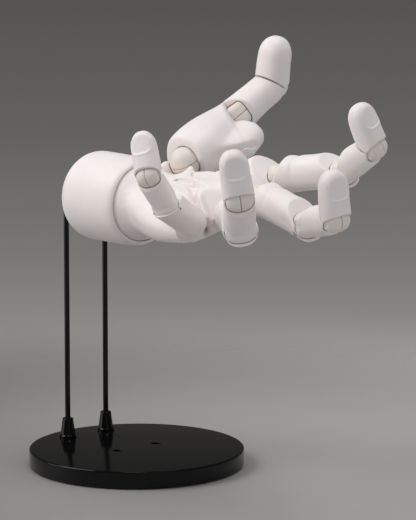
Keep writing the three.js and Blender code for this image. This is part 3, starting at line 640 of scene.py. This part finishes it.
def palm_body(x, y, z):
    places = [2, 13, 22, 34, 48, 62, 74, 84]
    low = curve(x, places, [-17, -18.5, -22, -28, -33, -36.5, -38, -37])
    high = curve(x, places, [17, 18.5, 21, 24, 28, 31, 32.5, 31])
    front = curve(x, places, [14, 14, 12.6, 11.6, 10.6, 9.6, 9.2, 8.6])
    back = curve(x, places, [15, 16, 16.5, 16, 14.5, 12.5, 11, 9.5])
    ends = np.maximum(x - 74, 0) / 9 + np.maximum(2 - x, 0) / 9
    body = oval(y - (low + high) / 2, z, (high - low) / 2, front, back, 2.5, ends)
    heel = np.sqrt(x * x + y * y + z * z) - heel_radius
    body = soft_min(body, heel, 3)
    for finger in fingers.values():
        u, v = turned_by(x, y, finger["root"], finger["aim"])
        w = z - finger["root"][2]
        wide, thick = finger["wide"][0], finger["thick"][0]
        half = wide * curve(u, [-40, -20, -9, 0], [0.36, 0.47, 0.5, 0.5])
        palm = thick * curve(u, [-40, -20, -9, 0], [0.3, 0.44, 0.53, 0.5])
        rear = thick * curve(u, [-40, -20, -9, 0], [0.4, 0.46, 0.49, 0.5])
        stub = oval(v, w, half, palm, rear, 2.2, np.maximum(-u - 30, 0) / 10)
        stub = np.maximum(stub, u - 2)
        body = soft_min(body, stub, 3.5)
    u, v = turned_by(x, y, thumb_root, thumb_out)
    w = z - thumb_root[2]
    half = curve(u, [-26, -14, 0], [9, 12, 13])
    palm = curve(u, [-26, -14, -7, 0], [2, 2.5, 5, 7.5])
    rear = curve(u, [-26, -14, 0], [8, 11.5, 12.5])
    stub = np.maximum(oval(v, w, half, palm, rear, 2.2, np.maximum(-u - 16, 0) / 10), u - 2)
    return soft_min(body, stub, 4)


palm_folds = [
    (((36, 4), (44, 3.5), (52, 2.5), (60, -0.5), (68, -1.5)), 2.2, 7),
    (((34, -3), (47, -5), (58, -7), (71, -6.5)), 1.9, 6),
    (((81.5, 24.3), (99.1, 12.6), (114.5, 4.6)), 1.2, 7),
]
palm_creases = [
    (((79, -19.5), (80.5, -15.8), (82, -12.4), (84, -8)), 1.1, 1.8),
    (((38.5, 27.5), (46, 22), (60, 21), (74, 17.5), (84, 12)), 1.4, 1.2),
]
palm_seam = ((50, 1), (58.8, -6.9), (66, -12.8), (74.8, -19.9), (82, -26), (89, -32))
palm_pads = [
    ((84, 6), (12, 9), -4, 2.4),
    ((80, 25), (12, 8), 4, 2),
    ((76, -12.5), (11, 6.5), -16, 3),
    ((69, -26), (11, 6.5), -30, 2.6),
    ((56, 12), (14, 8), 20, -1),
]


hollow_place, hollow_radius = (18.8, 21.8, 17.1), 10.2


def thumb_hollow(x, y, z):
    """A round channel in the palm before the thumb's ball, so the ball stands clear."""
    u, v, w = x - hollow_place[0], y - hollow_place[1], z - hollow_place[2]
    ahead = 0.745 * u - 0.596 * v + 0.298 * w
    across = (0.596 * u + 0.745 * v) / 0.954
    rise = 0.955 * w - 0.233 * u + 0.186 * v
    return np.maximum(np.sqrt(across**2 + rise**2) - hollow_radius, -1 - ahead)


def palm_field(x, y, z):
    d = palm_body(x, y, z)
    face = np.clip((z + 4) / 8, 0, 1)
    flat_x, flat_y = np.broadcast_arrays(x, y)
    relief = np.zeros_like(flat_x)
    for points, rise, reach in palm_folds:
        relief = relief + fold(flat_x, flat_y, points, rise, reach)
    for points, wide, deep in palm_creases:
        relief = relief + groove(flat_x, flat_y, points, wide, deep)
    for centre, half, turn_to, rise in palm_pads:
        relief = relief + pad_of(flat_x, flat_y, centre, half, turn_to, rise)
    d = d + relief * face
    d = d + groove(flat_x, flat_y, palm_seam, 1.9, 5.5) * np.clip((z + 9) / 4, 0, 1)
    d = soft_max(d, -thumb_hollow(x, y, z), 3)
    d = carve_roots(d, x, y, z)
    hollow = np.sqrt(x * x + y * y + z * z) - 11.6
    throat = np.maximum(np.sqrt(y * y + z * z) - np.maximum(11.6, 11.8 - 0.3 * x), x)
    d = np.maximum(d, -np.minimum(hollow, throat))
    return np.maximum(d, -9 - x)


def root_ball(finger):
    """The radius of the ball at a finger's root."""
    return min(finger["wide"][0], finger["thick"][0]) / 2 - ball_wall


def window(x, y, z, low, high):
    """The part of a grid between two corners, as slices."""
    cuts = []
    for axis, line in enumerate((x, y, z)):
        values = line.ravel()
        first, last = np.searchsorted(values, low[axis]), np.searchsorted(values, high[axis])
        cuts.append(slice(int(first), int(last)))
    return tuple(cuts)


def carve_roots(d, x, y, z):
    """Cuts the room that each finger and the thumb need to swing, and their round cups."""
    d = np.array(np.broadcast_to(d, (x.shape[0], y.shape[1], z.shape[2])), np.float32)
    rooms = [(thumb_root, thumb_aim, (66, 101), 16.5, 44, 11, 0.28, thumb_ball)]
    for f in reversed(fingers.values()):
        half, ball = f["wide"][0] / 2 + 0.8, root_ball(f)
        rooms.insert(0, (f["root"], f["aim"], f["swings"], half, 44.75, 14, root_gap, ball))
    for root, aim, swings, half, palm_cut, back_cut, gap, ball in rooms:
        reach, p, b = 30, math.radians(palm_cut), math.radians(back_cut)
        place = window(x, y, z, [r - reach for r in root], [r + reach for r in root])
        px, py, pz = x[place[0]], y[:, place[1]], z[:, :, place[2]] - root[2]
        part = d[place]
        for swing in np.linspace(*swings, 9):
            u, v = turned_by(px, py, root, float(swing))
            palm_side = (u + gap) * math.cos(p) + pz * math.sin(p)
            back_side = (u + gap) * math.cos(b) - pz * math.sin(b)
            cutter = np.minimum(np.maximum(palm_side, back_side), half - np.abs(v))
            part = soft_max(part, cutter, 1.4)
        u, v = turned_by(px, py, root, float(aim))
        cup = np.sqrt(u * u + v * v + pz * pz) - (ball + turn_gap)
        part = soft_max(part, -cup, 0.4)
        d[place] = part
    return d


palm_mesh = field_mesh("palm", palm_field, (-10, -50, -24), (101, 40, 29), 0.5, palm_frame)
palm_nodes = ("palm", "palm_pad")
finish_piece("hand_palm", palm_mesh, skin_plastic, "wrist_sway_body", palm_nodes)


# Knuckles
# Every joint of the fingers turns on two ivory half barrels, pinned side by side, one for
# each bone. One node tree makes them all, in its own sizes for each joint.
def knuckle_tree():
    labels = ("Radius", "Half Width", "Square", "End", "Split", "Bevel")
    tree, nodes, links, given = new_tree("knuckle_half", labels)

    def maths(kind, *values):
        node = nodes.new("ShaderNodeMath")
        node.operation = kind
        for socket, value in zip(node.inputs, values):
            if isinstance(value, (int, float)):
                socket.default_value = value
            else:
                links.new(value, socket)
        return node.outputs[0]

    ball = new_node(nodes, "GeometryNodeMeshUVSphere", Segments=64, Rings=72, Radius=1)
    where = nodes.new("GeometryNodeInputPosition")
    split_xyz = nodes.new("ShaderNodeSeparateXYZ")
    links.new(where.outputs["Position"], split_xyz.inputs["Vector"])
    px, py, pz = split_xyz.outputs
    up = maths("MAXIMUM", pz, 0.0)
    flat = maths("SQRT", maths("ADD", maths("MULTIPLY", px, px), maths("MULTIPLY", py, py)))
    flat = maths("MAXIMUM", flat, 0.000001)
    # The upper half of the ball is swollen to a barrel, and the lower half lies flat.
    square = given.outputs["Square"]
    total = maths("ADD", maths("POWER", up, square), maths("POWER", flat, square))
    swell = maths("POWER", total, maths("DIVIDE", -1.0, square))
    above = maths("GREATER_THAN", pz, 0.0)
    swell = maths("ADD", maths("MULTIPLY", above, swell), maths("SUBTRACT", 1.0, above))
    high = maths("MULTIPLY", maths("MULTIPLY", up, swell), given.outputs["Half Width"])
    high = maths("MINIMUM", high, given.outputs["End"])
    edge = maths("DIVIDE", maths("SUBTRACT", high, given.outputs["Split"]), given.outputs["Bevel"])
    edge = maths("MAXIMUM", maths("MINIMUM", edge, 1.0), 0.0)
    lost = maths("MULTIPLY", maths("SUBTRACT", 1.0, edge), given.outputs["Bevel"])
    inner = maths("SUBTRACT", given.outputs["Radius"], lost)
    reach = maths("MULTIPLY", maths("MULTIPLY", flat, swell), inner)
    high = maths("MAXIMUM", high, given.outputs["Split"])
    scale = maths("DIVIDE", reach, flat)
    joined = nodes.new("ShaderNodeCombineXYZ")
    links.new(maths("MULTIPLY", px, scale), joined.inputs["X"])
    links.new(maths("MULTIPLY", py, scale), joined.inputs["Y"])
    links.new(high, joined.inputs["Z"])
    moved = nodes.new("GeometryNodeSetPosition")
    links.new(ball.outputs["Mesh"], moved.inputs["Geometry"])
    links.new(joined.outputs["Vector"], moved.inputs["Position"])
    return end_tree(tree, given, moved, "Geometry")


knuckle_half = knuckle_tree()
near_turn = Matrix.Rotation(math.radians(90), 4, "X")
far_turn = Matrix.Rotation(math.radians(-90), 4, "X")


def knuckle_piece(node, body, place, size, far):
    """One half of a knuckle: the near one lies on -Y, the far one on +Y."""
    radius, half, square, cut = size
    mesh = from_tree(knuckle_half, {
        "Radius": radius / 1000,
        "Half Width": half / cut / 1000,
        "Square": float(square),
        "End": half / 1000,
        "Split": 0.00011,
        "Bevel": 0.00026,
        "Material": knuckle_plastic,
    })
    mesh.transform(place @ (far_turn if far else near_turn))
    mesh = tidy_mesh(mesh, 50)
    return finish_piece(node + "_half", mesh, knuckle_plastic, body, node)


def knuckle_pair(name, near_body, far_body, place, size):
    knuckle_piece(name + "_near", near_body, place, size, False)
    knuckle_piece(name + "_far", far_body, place, size, True)


def ball_size(radius):
    return radius, radius, 2, 1


# Finger bones
# Three bones a finger are moulded as shells around their knuckles. The middle joint is a
# ruler's joint: a shell of the middle bone slides under a lap of the first. The end joint
# shows its barrel between the fingertip's sloping lip and the middle bone's round cup.
side_wall, lap_wall, shell_wall, shell_gap = 1.3, 0.7, 0.6, 0.25
end_wall, end_gap, axis_gap = 0.9, 0.3, 0.28
middle_wall = lap_wall + shell_wall + 2 * shell_gap
room_side, shell_side, middle_side = 0.8, 1.05, 1.95
middle_palm_cut, lap, shoulder = 48.3, 30, 30.8
end_palm_cut, end_cup, end_lip = 40.8, 34, 28
lap_edge, lap_room = lap - 90, 4
shell_end = lap_edge - 95 - lap_room
barrel_flat = 0.9


def barrel_size(wide, thick, wall, side=side_wall, square=2.3):
    return thick / 2 - wall, wide / 2 - side, square, barrel_flat


def barrel(x, y, z, size, grow=0.0):
    """Distance to a barrel that lies across, with flat ends."""
    radius, half, square, cut = size
    rho = np.sqrt(x * x + z * z)
    total = (rho / (radius + grow)) ** square + np.abs(y * cut / (half + grow)) ** square
    return np.maximum((total ** (1 / square) - 1) * (radius + grow), np.abs(y) - half - grow)


def sector(x, z, start, end):
    """Distance to what lies between two angles from X towards Z."""
    a, b = math.radians(start), math.radians(end)
    return np.maximum(x * math.sin(a) - z * math.cos(a), z * math.cos(b) - x * math.sin(b))


def bone_body(x, y, z, length, wide, thick, pad):
    s = np.clip(x / length, 0, 1)
    swell = np.sin(np.pi * s)
    half = (wide[0] + (wide[1] - wide[0]) * s) / 2 * (1 - 0.075 * swell)
    deep = (thick[0] + (thick[1] - thick[0]) * s) / 2
    return oval(y, z, half, deep * (1 + pad * swell), deep * (1 - 0.06 * swell), 2.3)


def first_bone_field(finger):
    wide, thick, length = finger["wide"], finger["thick"], finger["bones"][0]
    ball = root_ball(finger)
    shift = (ball / 2 + 0.3) * math.sin(math.radians(18))
    size = barrel_size(wide[1], thick[1], middle_wall, middle_side)
    room = barrel_size(wide[1], thick[1], lap_wall, room_side)

    def field(x, y, z):
        d = bone_body(x, y, z, length, wide, thick, 0.08)
        pads = 0.6 * np.exp(-(((x - length + 10) / 5.5) ** 2))
        root_pad = 0.6 * np.exp(-(((x - length * 0.16) / 5) ** 2))
        pads = pads + root_pad * np.clip(1 - (y / 7) ** 2, 0, 1)
        pads = pads - 0.5 * np.exp(-(((x - length * 0.34) / 1.7) ** 2))
        pads = pads - 0.9 * np.clip((x - length + 6) / 6, 0, 1) ** 2
        d = d - pads * np.clip(z / 5, 0, 1)
        d = soft_max(d, wedge(x, z, 35.25, 12, axis_gap), 1.6)
        d = soft_max(d, -(np.sqrt(x * x + y * y + z * z) - (ball + turn_gap + shift)), 0.5)
        u = x - length
        d = soft_max(d, wedge(-u, z, middle_palm_cut, -lap, 0.1), 0.5)
        d = soft_max(d, -barrel(u, y, z, size, shell_gap), 0.3)
        below = sector(u, z, shell_end - lap_room, lap_edge + lap_room)
        return soft_max(d, -np.maximum(barrel(u, y, z, room), below), 0.25)

    return field


def middle_bone_field(finger):
    wide, thick, length = finger["wide"][1:], finger["thick"][1:], finger["bones"][1]
    near = barrel_size(wide[0], thick[0], middle_wall, middle_side)
    skin = barrel_size(wide[0], thick[0], lap_wall + shell_gap, shell_side)
    far = barrel_size(wide[1], thick[1], end_wall)

    def field(x, y, z):
        # The bone is drawn in beside the joint, so it meets its shell without a step.
        near_it = 1 - np.clip((x - 2) / 11, 0, 1)
        near_it = near_it * near_it * (3 - 2 * near_it) * np.clip((6 - z) / 6, 0, 1)
        narrow = 1 - 0.11 * near_it
        d = bone_body(x, y / narrow, z / narrow, length, wide, thick, 0.08)
        d = soft_max(d, wedge(x, z, middle_palm_cut, shoulder, 0.2), 0.7)
        shell = np.maximum(barrel(x, y, z, skin), sector(x, z, shell_end, lap_edge + 25))
        d = soft_min(d, shell, 0.6)
        d = soft_max(d, -barrel(x, y, z, near, shell_gap), 0.3)
        u = x - length
        d = soft_max(d, wedge(-u, z, end_palm_cut, end_cup, 0.2), 0.45)
        return soft_max(d, -barrel(u, y, z, far, end_gap), 0.3)

    return field


def tip_field(length, wide, thick, palm_cut, nail_start=0.47, nail_half=0.37):
    size = barrel_size(wide, thick, end_wall)

    def field(x, y, z):
        even = 0.64
        ahead = np.maximum(x / length - even, 0) / (1 - even)
        s = np.clip(x / length, 0, 1)
        half = wide / 2 * (1 - 0.15 * s**1.4)
        palm = thick / 2 * (1 + 0.11 * np.sin(np.pi * np.clip(s * 1.15, 0, 1)))
        back = thick / 2 * (1 - 0.1 * s)
        d = oval(y, z + 0.05 * thick * s * s, half, palm, back, 2.4, ahead)
        # The nail is a flat sunk into the back, with a fold of skin around it.
        u = (x / length - nail_start) / (1 - nail_start)
        across = np.abs(y) / (nail_half * wide)
        round_it = (across**3 + np.maximum(1 - u * 2.2, 0) ** 3) ** (1 / 3)
        off = (round_it - 1) * nail_half * wide
        bed = z + thick / 2 * (0.94 - 0.13 * s - 0.1 * across**2)
        rim = 0.24 * np.exp(-(((off - 0.75) / 0.6) ** 2)) * np.clip(-z / (0.1 * thick), 0, 1)
        d = d - rim * np.clip(u * 12 + 1.5, 0, 1)
        d = soft_max(d, -np.maximum(bed, off * 0.8), 0.22)
        d = soft_max(d, wedge(x, z, palm_cut, end_lip, 0.25), 0.3)
        return soft_max(d, -barrel(x, y, z, size, end_gap), 0.3)

    return field


def rolled_frame(place, degrees):
    return place @ Matrix.Rotation(math.radians(degrees), 4, "X")


for name, finger in fingers.items():
    bones, wide, thick = finger["bones"], finger["wide"], finger["thick"]
    along, hinge = joint_axis(name + "_twist"), joint_axis(name + "_middle")
    middle_place, end_place = joint_place(name + "_middle"), joint_place(name + "_end")
    place = frame_at(joint_place(name + "_knuckle"), along, joint_axis(name + "_knuckle"))
    spread, knuckle = name + "_spread_body", name + "_knuckle_body"
    knuckle_pair(name + "_ball", spread, knuckle, place, ball_size(root_ball(finger)))
    place = frame_at(middle_place - along * bones[0] / 1000, along, hinge)
    size = max(wide[0], thick[0]) / 2 * 1.12
    low, high = (-1, -size, -size), (bones[0] + 7, size, size)
    mesh = field_mesh(name + "_first", first_bone_field(finger), low, high, 0.4, place)
    body, node = name + "_twist_body", name + "_first_bone"
    finish_piece(name + "_first_phalanx", mesh, skin_plastic, body, node)

    along = (end_place - middle_place).normalized()
    place = frame_at(middle_place, along, hinge)
    size = barrel_size(wide[1], thick[1], middle_wall, middle_side)
    knuckle_pair(name + "_middle", body, name + "_middle_body", place, size)
    size = max(wide[1], thick[1]) / 2 * 1.12
    low, high = (-size - 1, -size, -size), (bones[1] + 1, size, size)
    mesh = field_mesh(name + "_middle", middle_bone_field(finger), low, high, 0.35, place)
    body, node = name + "_middle_body", name + "_middle_bone"
    finish_piece(name + "_middle_phalanx", mesh, skin_plastic, body, node)

    hinge, bend = joint_axis(name + "_end"), -joints[name + "_end"]["range_deg"][0]
    place = turned_frame(end_place, hinge, along, bend)
    size = barrel_size(wide[2], thick[2], end_wall)
    knuckle_pair(name + "_end", body, name + "_end_body", place, size)
    size = max(wide[2], thick[2]) / 2 * 1.25
    low, high = (-2, -size, -size), (bones[2] + 1, size, size)
    field = tip_field(bones[2], wide[2], thick[2], end_palm_cut)
    mesh = field_mesh(name + "_tip", field, low, high, 0.35, place)
    body, node = name + "_end_body", name + "_tip"
    finish_piece(name + "_fingertip", mesh, skin_plastic, body, node)


# Thumb
# The thumb's base carries the ball of the thumb and a web of skin towards the palm. It
# turns on a ball that is split level, and its knuckle's hinge is rolled towards the palm.
thumb_bones, thumb_wide, thumb_thick = (48, 35, 28.5), (26, 21, 19.4), (25, 20.5, 17)
thumb_twist, thumb_roll = 21.4, 50
thumb_mouth, thumb_bone_cut, thumb_tip_cut = 48, 28, 36.8
thumb_barrel = (thumb_thick[1] / 2 - 1.5, 6.5, 4, barrel_flat)


def rolled(y, z, degrees):
    """The coordinates across and up in a frame that is rolled about X."""
    c, s = math.cos(math.radians(degrees)), math.sin(math.radians(degrees))
    return c * y + s * z, c * z - s * y


def bone_sweep(x, y, z):
    """Distance to the room that the thumb's bone needs as its knuckle bends."""
    p, q = rolled(y, z, thumb_roll)
    nearest = np.float32(100)
    for bend in np.radians([-8, 10, 28, 44, 58]):
        c, s = math.cos(bend), math.sin(bend)
        u, w = c * x + s * q, c * q - s * x
        v, w = rolled(p, w, -thumb_roll)
        deep = thumb_thick[1] / 2 + 0.6
        tube = oval(v, w, thumb_wide[1] / 2 + 0.6, deep, deep, 2.3)
        nearest = np.minimum(nearest, np.maximum(tube, -u - 6))
    return nearest


web_crease = (5.8, -13.7), (12.3, -16.6), (17.1, -20.1), (20.7, -23), (25, -25.3), (31, -27.4)


def thumb_base_field(x, y, z):
    ends = [0, 7, 20, 34, 42, 48]
    side = curve(x, ends, [1, 0.5, 0, 0, 0, 0])
    half = curve(x, ends, [13, 15, 15.2, 12.8, 11.1, 10.5])
    palm = curve(x, ends, [12.5, 13.5, 14, 12.2, 10.85, 10.25])
    back = curve(x, ends, [12.5, 13.5, 13, 11.6, 10.45, 10.25])
    d = oval(y - side, z, half, palm, back, 2.3)
    ends = [6, 14, 24, 34, 41, 45.5]
    side = curve(x, ends, [-5, -10, -14.5, -15.5, -15, -13.5])
    half = curve(x, ends, [5, 8.5, 12, 11.5, 9.5, 6])
    deep = 7 * curve(x, ends, [0.6, 0.95, 1, 1, 0.85, 0.5])
    edge = np.maximum(x - 42, 0) / 5 + np.maximum(9 - x, 0) / 4
    web = oval(y - side, z, half, deep, deep, 2.4, edge)
    d = soft_min(d, web, 5)
    _, w = rolled(y, z, -thumb_twist)
    d = soft_max(d, wedge(x, w, 15, 11, axis_gap), 1.6)
    d = soft_max(d, -(np.sqrt(x * x + y * y + z * z) - thumb_ball - turn_gap), 0.5)
    u = x - thumb_bones[0]
    p, q = rolled(y, z, thumb_roll)
    d = soft_max(d, wedge(-u, q, thumb_mouth, 9, axis_gap), 1.0)
    beside = soft_max(web, -bone_sweep(u, y, z), 1.2)
    d = soft_min(d, beside, 1.5)
    crease = groove(*np.broadcast_arrays(x, y), web_crease, 0.75, 1.7)
    d = d + crease * np.clip((z + 1) / 2, 0, 1)
    return soft_max(d, -barrel(u, p, q, thumb_barrel, 0.35), 0.3)


def thumb_bone_field(x, y, z):
    length = thumb_bones[1]
    d = bone_body(x, y, z, length, thumb_wide[1:], thumb_thick[1:], 0.04)
    p, q = rolled(y, z, thumb_roll)
    d = soft_max(d, wedge(x, q, thumb_bone_cut, 9, axis_gap), 0.9)
    d = soft_max(d, -barrel(x, p, q, thumb_barrel, 0.35), 0.3)
    u = x - length
    d = soft_max(d, wedge(-u, z, thumb_tip_cut, end_cup, 0.2), 0.5)
    size = barrel_size(thumb_wide[2], thumb_thick[2], end_wall)
    return soft_max(d, -barrel(u, y, z, size, end_gap), 0.3)


thumb_place, knuckle_place = joint_place("thumb_swing"), joint_place("thumb_knuckle")
tip_place = joint_place("thumb_end")
base_along = (knuckle_place - thumb_place).normalized()
bone_along = (tip_place - knuckle_place).normalized()
knuckle_hinge, tip_hinge = joint_axis("thumb_knuckle"), joint_axis("thumb_end")
place = frame_at(thumb_place, base_along, -joint_axis("thumb_swing"))
ball = ball_size(thumb_ball)
knuckle_pair("thumb_ball", "thumb_lift_body", "thumb_swing_body", place, ball)
place = rolled_frame(frame_at(thumb_place, base_along, knuckle_hinge), -thumb_roll)
mesh = field_mesh("thumb_base", thumb_base_field, (-2, -31, -17), (54, 18, 17), 0.45, place)
finish_piece("thumb_root", mesh, skin_plastic, "thumb_swing_body", "thumb_base")

place = frame_at(knuckle_place, bone_along, knuckle_hinge)
knuckle_pair("thumb_knuckle", "thumb_swing_body", "thumb_knuckle_body", place, thumb_barrel)
place = frame_at(knuckle_place, bone_along, tip_hinge)
low, high = (-2, -12.5, -12.5), (37, 12.5, 12.5)
mesh = field_mesh("thumb_bone", thumb_bone_field, low, high, 0.4, place)
finish_piece("thumb_phalanx", mesh, skin_plastic, "thumb_knuckle_body", "thumb_bone")

thumb_bend = -4 - joints["thumb_end"]["range_deg"][0]
place = turned_frame(tip_place, tip_hinge, bone_along, thumb_bend)
size = barrel_size(thumb_wide[2], thumb_thick[2], end_wall)
knuckle_pair("thumb_end", "thumb_knuckle_body", "thumb_end_body", place, size)
field = tip_field(thumb_bones[2], thumb_wide[2], thumb_thick[2], thumb_tip_cut)
mesh = field_mesh("thumb_tip", field, (-2, -12, -12), (30, 12, 12), 0.35, place)
finish_piece("thumb_fingertip", mesh, skin_plastic, "thumb_end_body", "thumb_tip")


# Studio
# A grey sweep, dark above and paler towards the floor, under large soft lights. The floor
# keeps the model's shadow, and thins out to the background away from it. Its grey is
# painted paler towards the right of the view, a painted light where the lamps fall stronger.
floor_mesh = turned_mesh("floor", [(0, -0.4), (900, -0.4), (900, 0), (0, 0)], 96)
floor = bpy.data.objects.new("floor", floor_mesh)
scene.collection.objects.link(floor)
floor_paint, nodes, links, shader, place = new_material("floor_grey_painted_light")
cloud = new_node(nodes, "ShaderNodeTexNoise", Scale=3)
tone = two_tone(nodes, (0.26, 0.252, 0.24), (0.5, 0.485, 0.465))
# Painted light: the floor's grey is ramped from dark to pale along the view's right, with a little
# random mottling on top.
side = nodes.new("ShaderNodeVectorMath")
side.operation = "DOT_PRODUCT"
side.inputs[1].default_value = (0.65, 0.76, 0)
slope = new_node(nodes, "ShaderNodeMapRange", From_Min=-0.1, From_Max=0.22)
total = nodes.new("ShaderNodeMath")
total.operation = "MULTIPLY_ADD"
total.inputs[1].default_value = 0.06
shader.inputs["Roughness"].default_value = 0.55
far = nodes.new("ShaderNodeVectorMath")
far.operation = "LENGTH"
fade = new_node(nodes, "ShaderNodeMapRange", From_Min=0.12, From_Max=0.5)
fade.interpolation_type = "SMOOTHSTEP"
mix = nodes.new("ShaderNodeMixShader")
join(
    links,
    (place, "Object", cloud, "Vector"),
    (place, "Object", side, 0),
    (side, "Value", slope, "Value"),
    (cloud, "Fac", total, 0),
    (slope, "Result", total, 2),
    (total, "Value", tone, "Fac"),
    (tone, "Color", shader, "Base Color"),
    (place, "Object", far, 0),
    (far, "Value", fade, "Value"),
    (fade, "Result", mix, "Fac"),
    (shader, "BSDF", mix, 1),
    (nodes.new("ShaderNodeBsdfTransparent"), "BSDF", mix, 2),
    (mix, "Shader", nodes["Material Output"], "Surface"),
)
floor_mesh.materials.append(floor_paint)

world = bpy.data.worlds.new("studio")
scene.world = world
world.use_nodes = True
nodes, links = world.node_tree.nodes, world.node_tree.links
way = nodes.new("ShaderNodeTexCoord")
parts = nodes.new("ShaderNodeSeparateXYZ")
height = new_node(nodes, "ShaderNodeMapRange", From_Min=-0.25, From_Max=-0.05)
sky = nodes.new("ShaderNodeValToRGB")
sky_greys = (0, 0.31), (0.14, 0.345), (0.29, 0.262), (0.42, 0.19)
sky_greys += (0.62, 0.124), (0.85, 0.088), (1, 0.074)
for n, (at, grey) in enumerate(sky_greys):
    ramp = sky.color_ramp.elements
    stop = ramp[0] if n == 0 else ramp[-1] if n == len(sky_greys) - 1 else ramp.new(at)
    stop.position = at
    stop.color = (grey * 1.03, grey, grey * 0.95, 1)
backdrop = nodes.new("ShaderNodeBackground")
seen = nodes.new("ShaderNodeLightPath")
mirrored, through = nodes.new("ShaderNodeMath"), nodes.new("ShaderNodeMath")
mirrored.operation = through.operation = "MAXIMUM"
blend = nodes.new("ShaderNodeMixShader")
room_light = nodes["Background"]
room_light.inputs["Color"].default_value = (0.97, 0.985, 1, 1)
room_light.inputs["Strength"].default_value = 0.52
join(
    links,
    (way, "Generated", parts, "Vector"),
    (parts, "Z", height, "Value"),
    (height, "Result", sky, "Fac"),
    (sky, "Color", backdrop, "Color"),
    (seen, "Is Camera Ray", mirrored, 0),
    (seen, "Is Glossy Ray", mirrored, 1),
    (mirrored, "Value", through, 0),
    (seen, "Is Transmission Ray", through, 1),
    (through, "Value", blend, "Fac"),
    (room_light, "Background", blend, 1),
    (backdrop, "Background", blend, 2),
    (blend, "Shader", nodes["World Output"], "Surface"),
)


def soft_light(name, place, aim, size, power, tint=(1, 1, 1)):
    data = bpy.data.lights.new(name, "AREA")
    data.shape, data.size, data.energy, data.color = "DISK", size, power, tint
    light = bpy.data.objects.new(name, data)
    light.location = place
    light.rotation_euler = (Vector(aim) - Vector(place)).to_track_quat("-Z", "Y").to_euler()
    scene.collection.objects.link(light)


hand_middle = (0.06, 0, 0.16)
soft_light("key", (-0.5, -0.7, 0.95), hand_middle, 0.7, 6.2, (1, 0.985, 0.97))
soft_light("left", (-0.75, -0.95, 0.08), hand_middle, 0.8, 2.3)
soft_light("top", (0.1, 0.1, 1.1), hand_middle, 0.6, 2.6)
soft_light("front", (1.1, -0.35, 0.4), hand_middle, 0.9, 0.3)
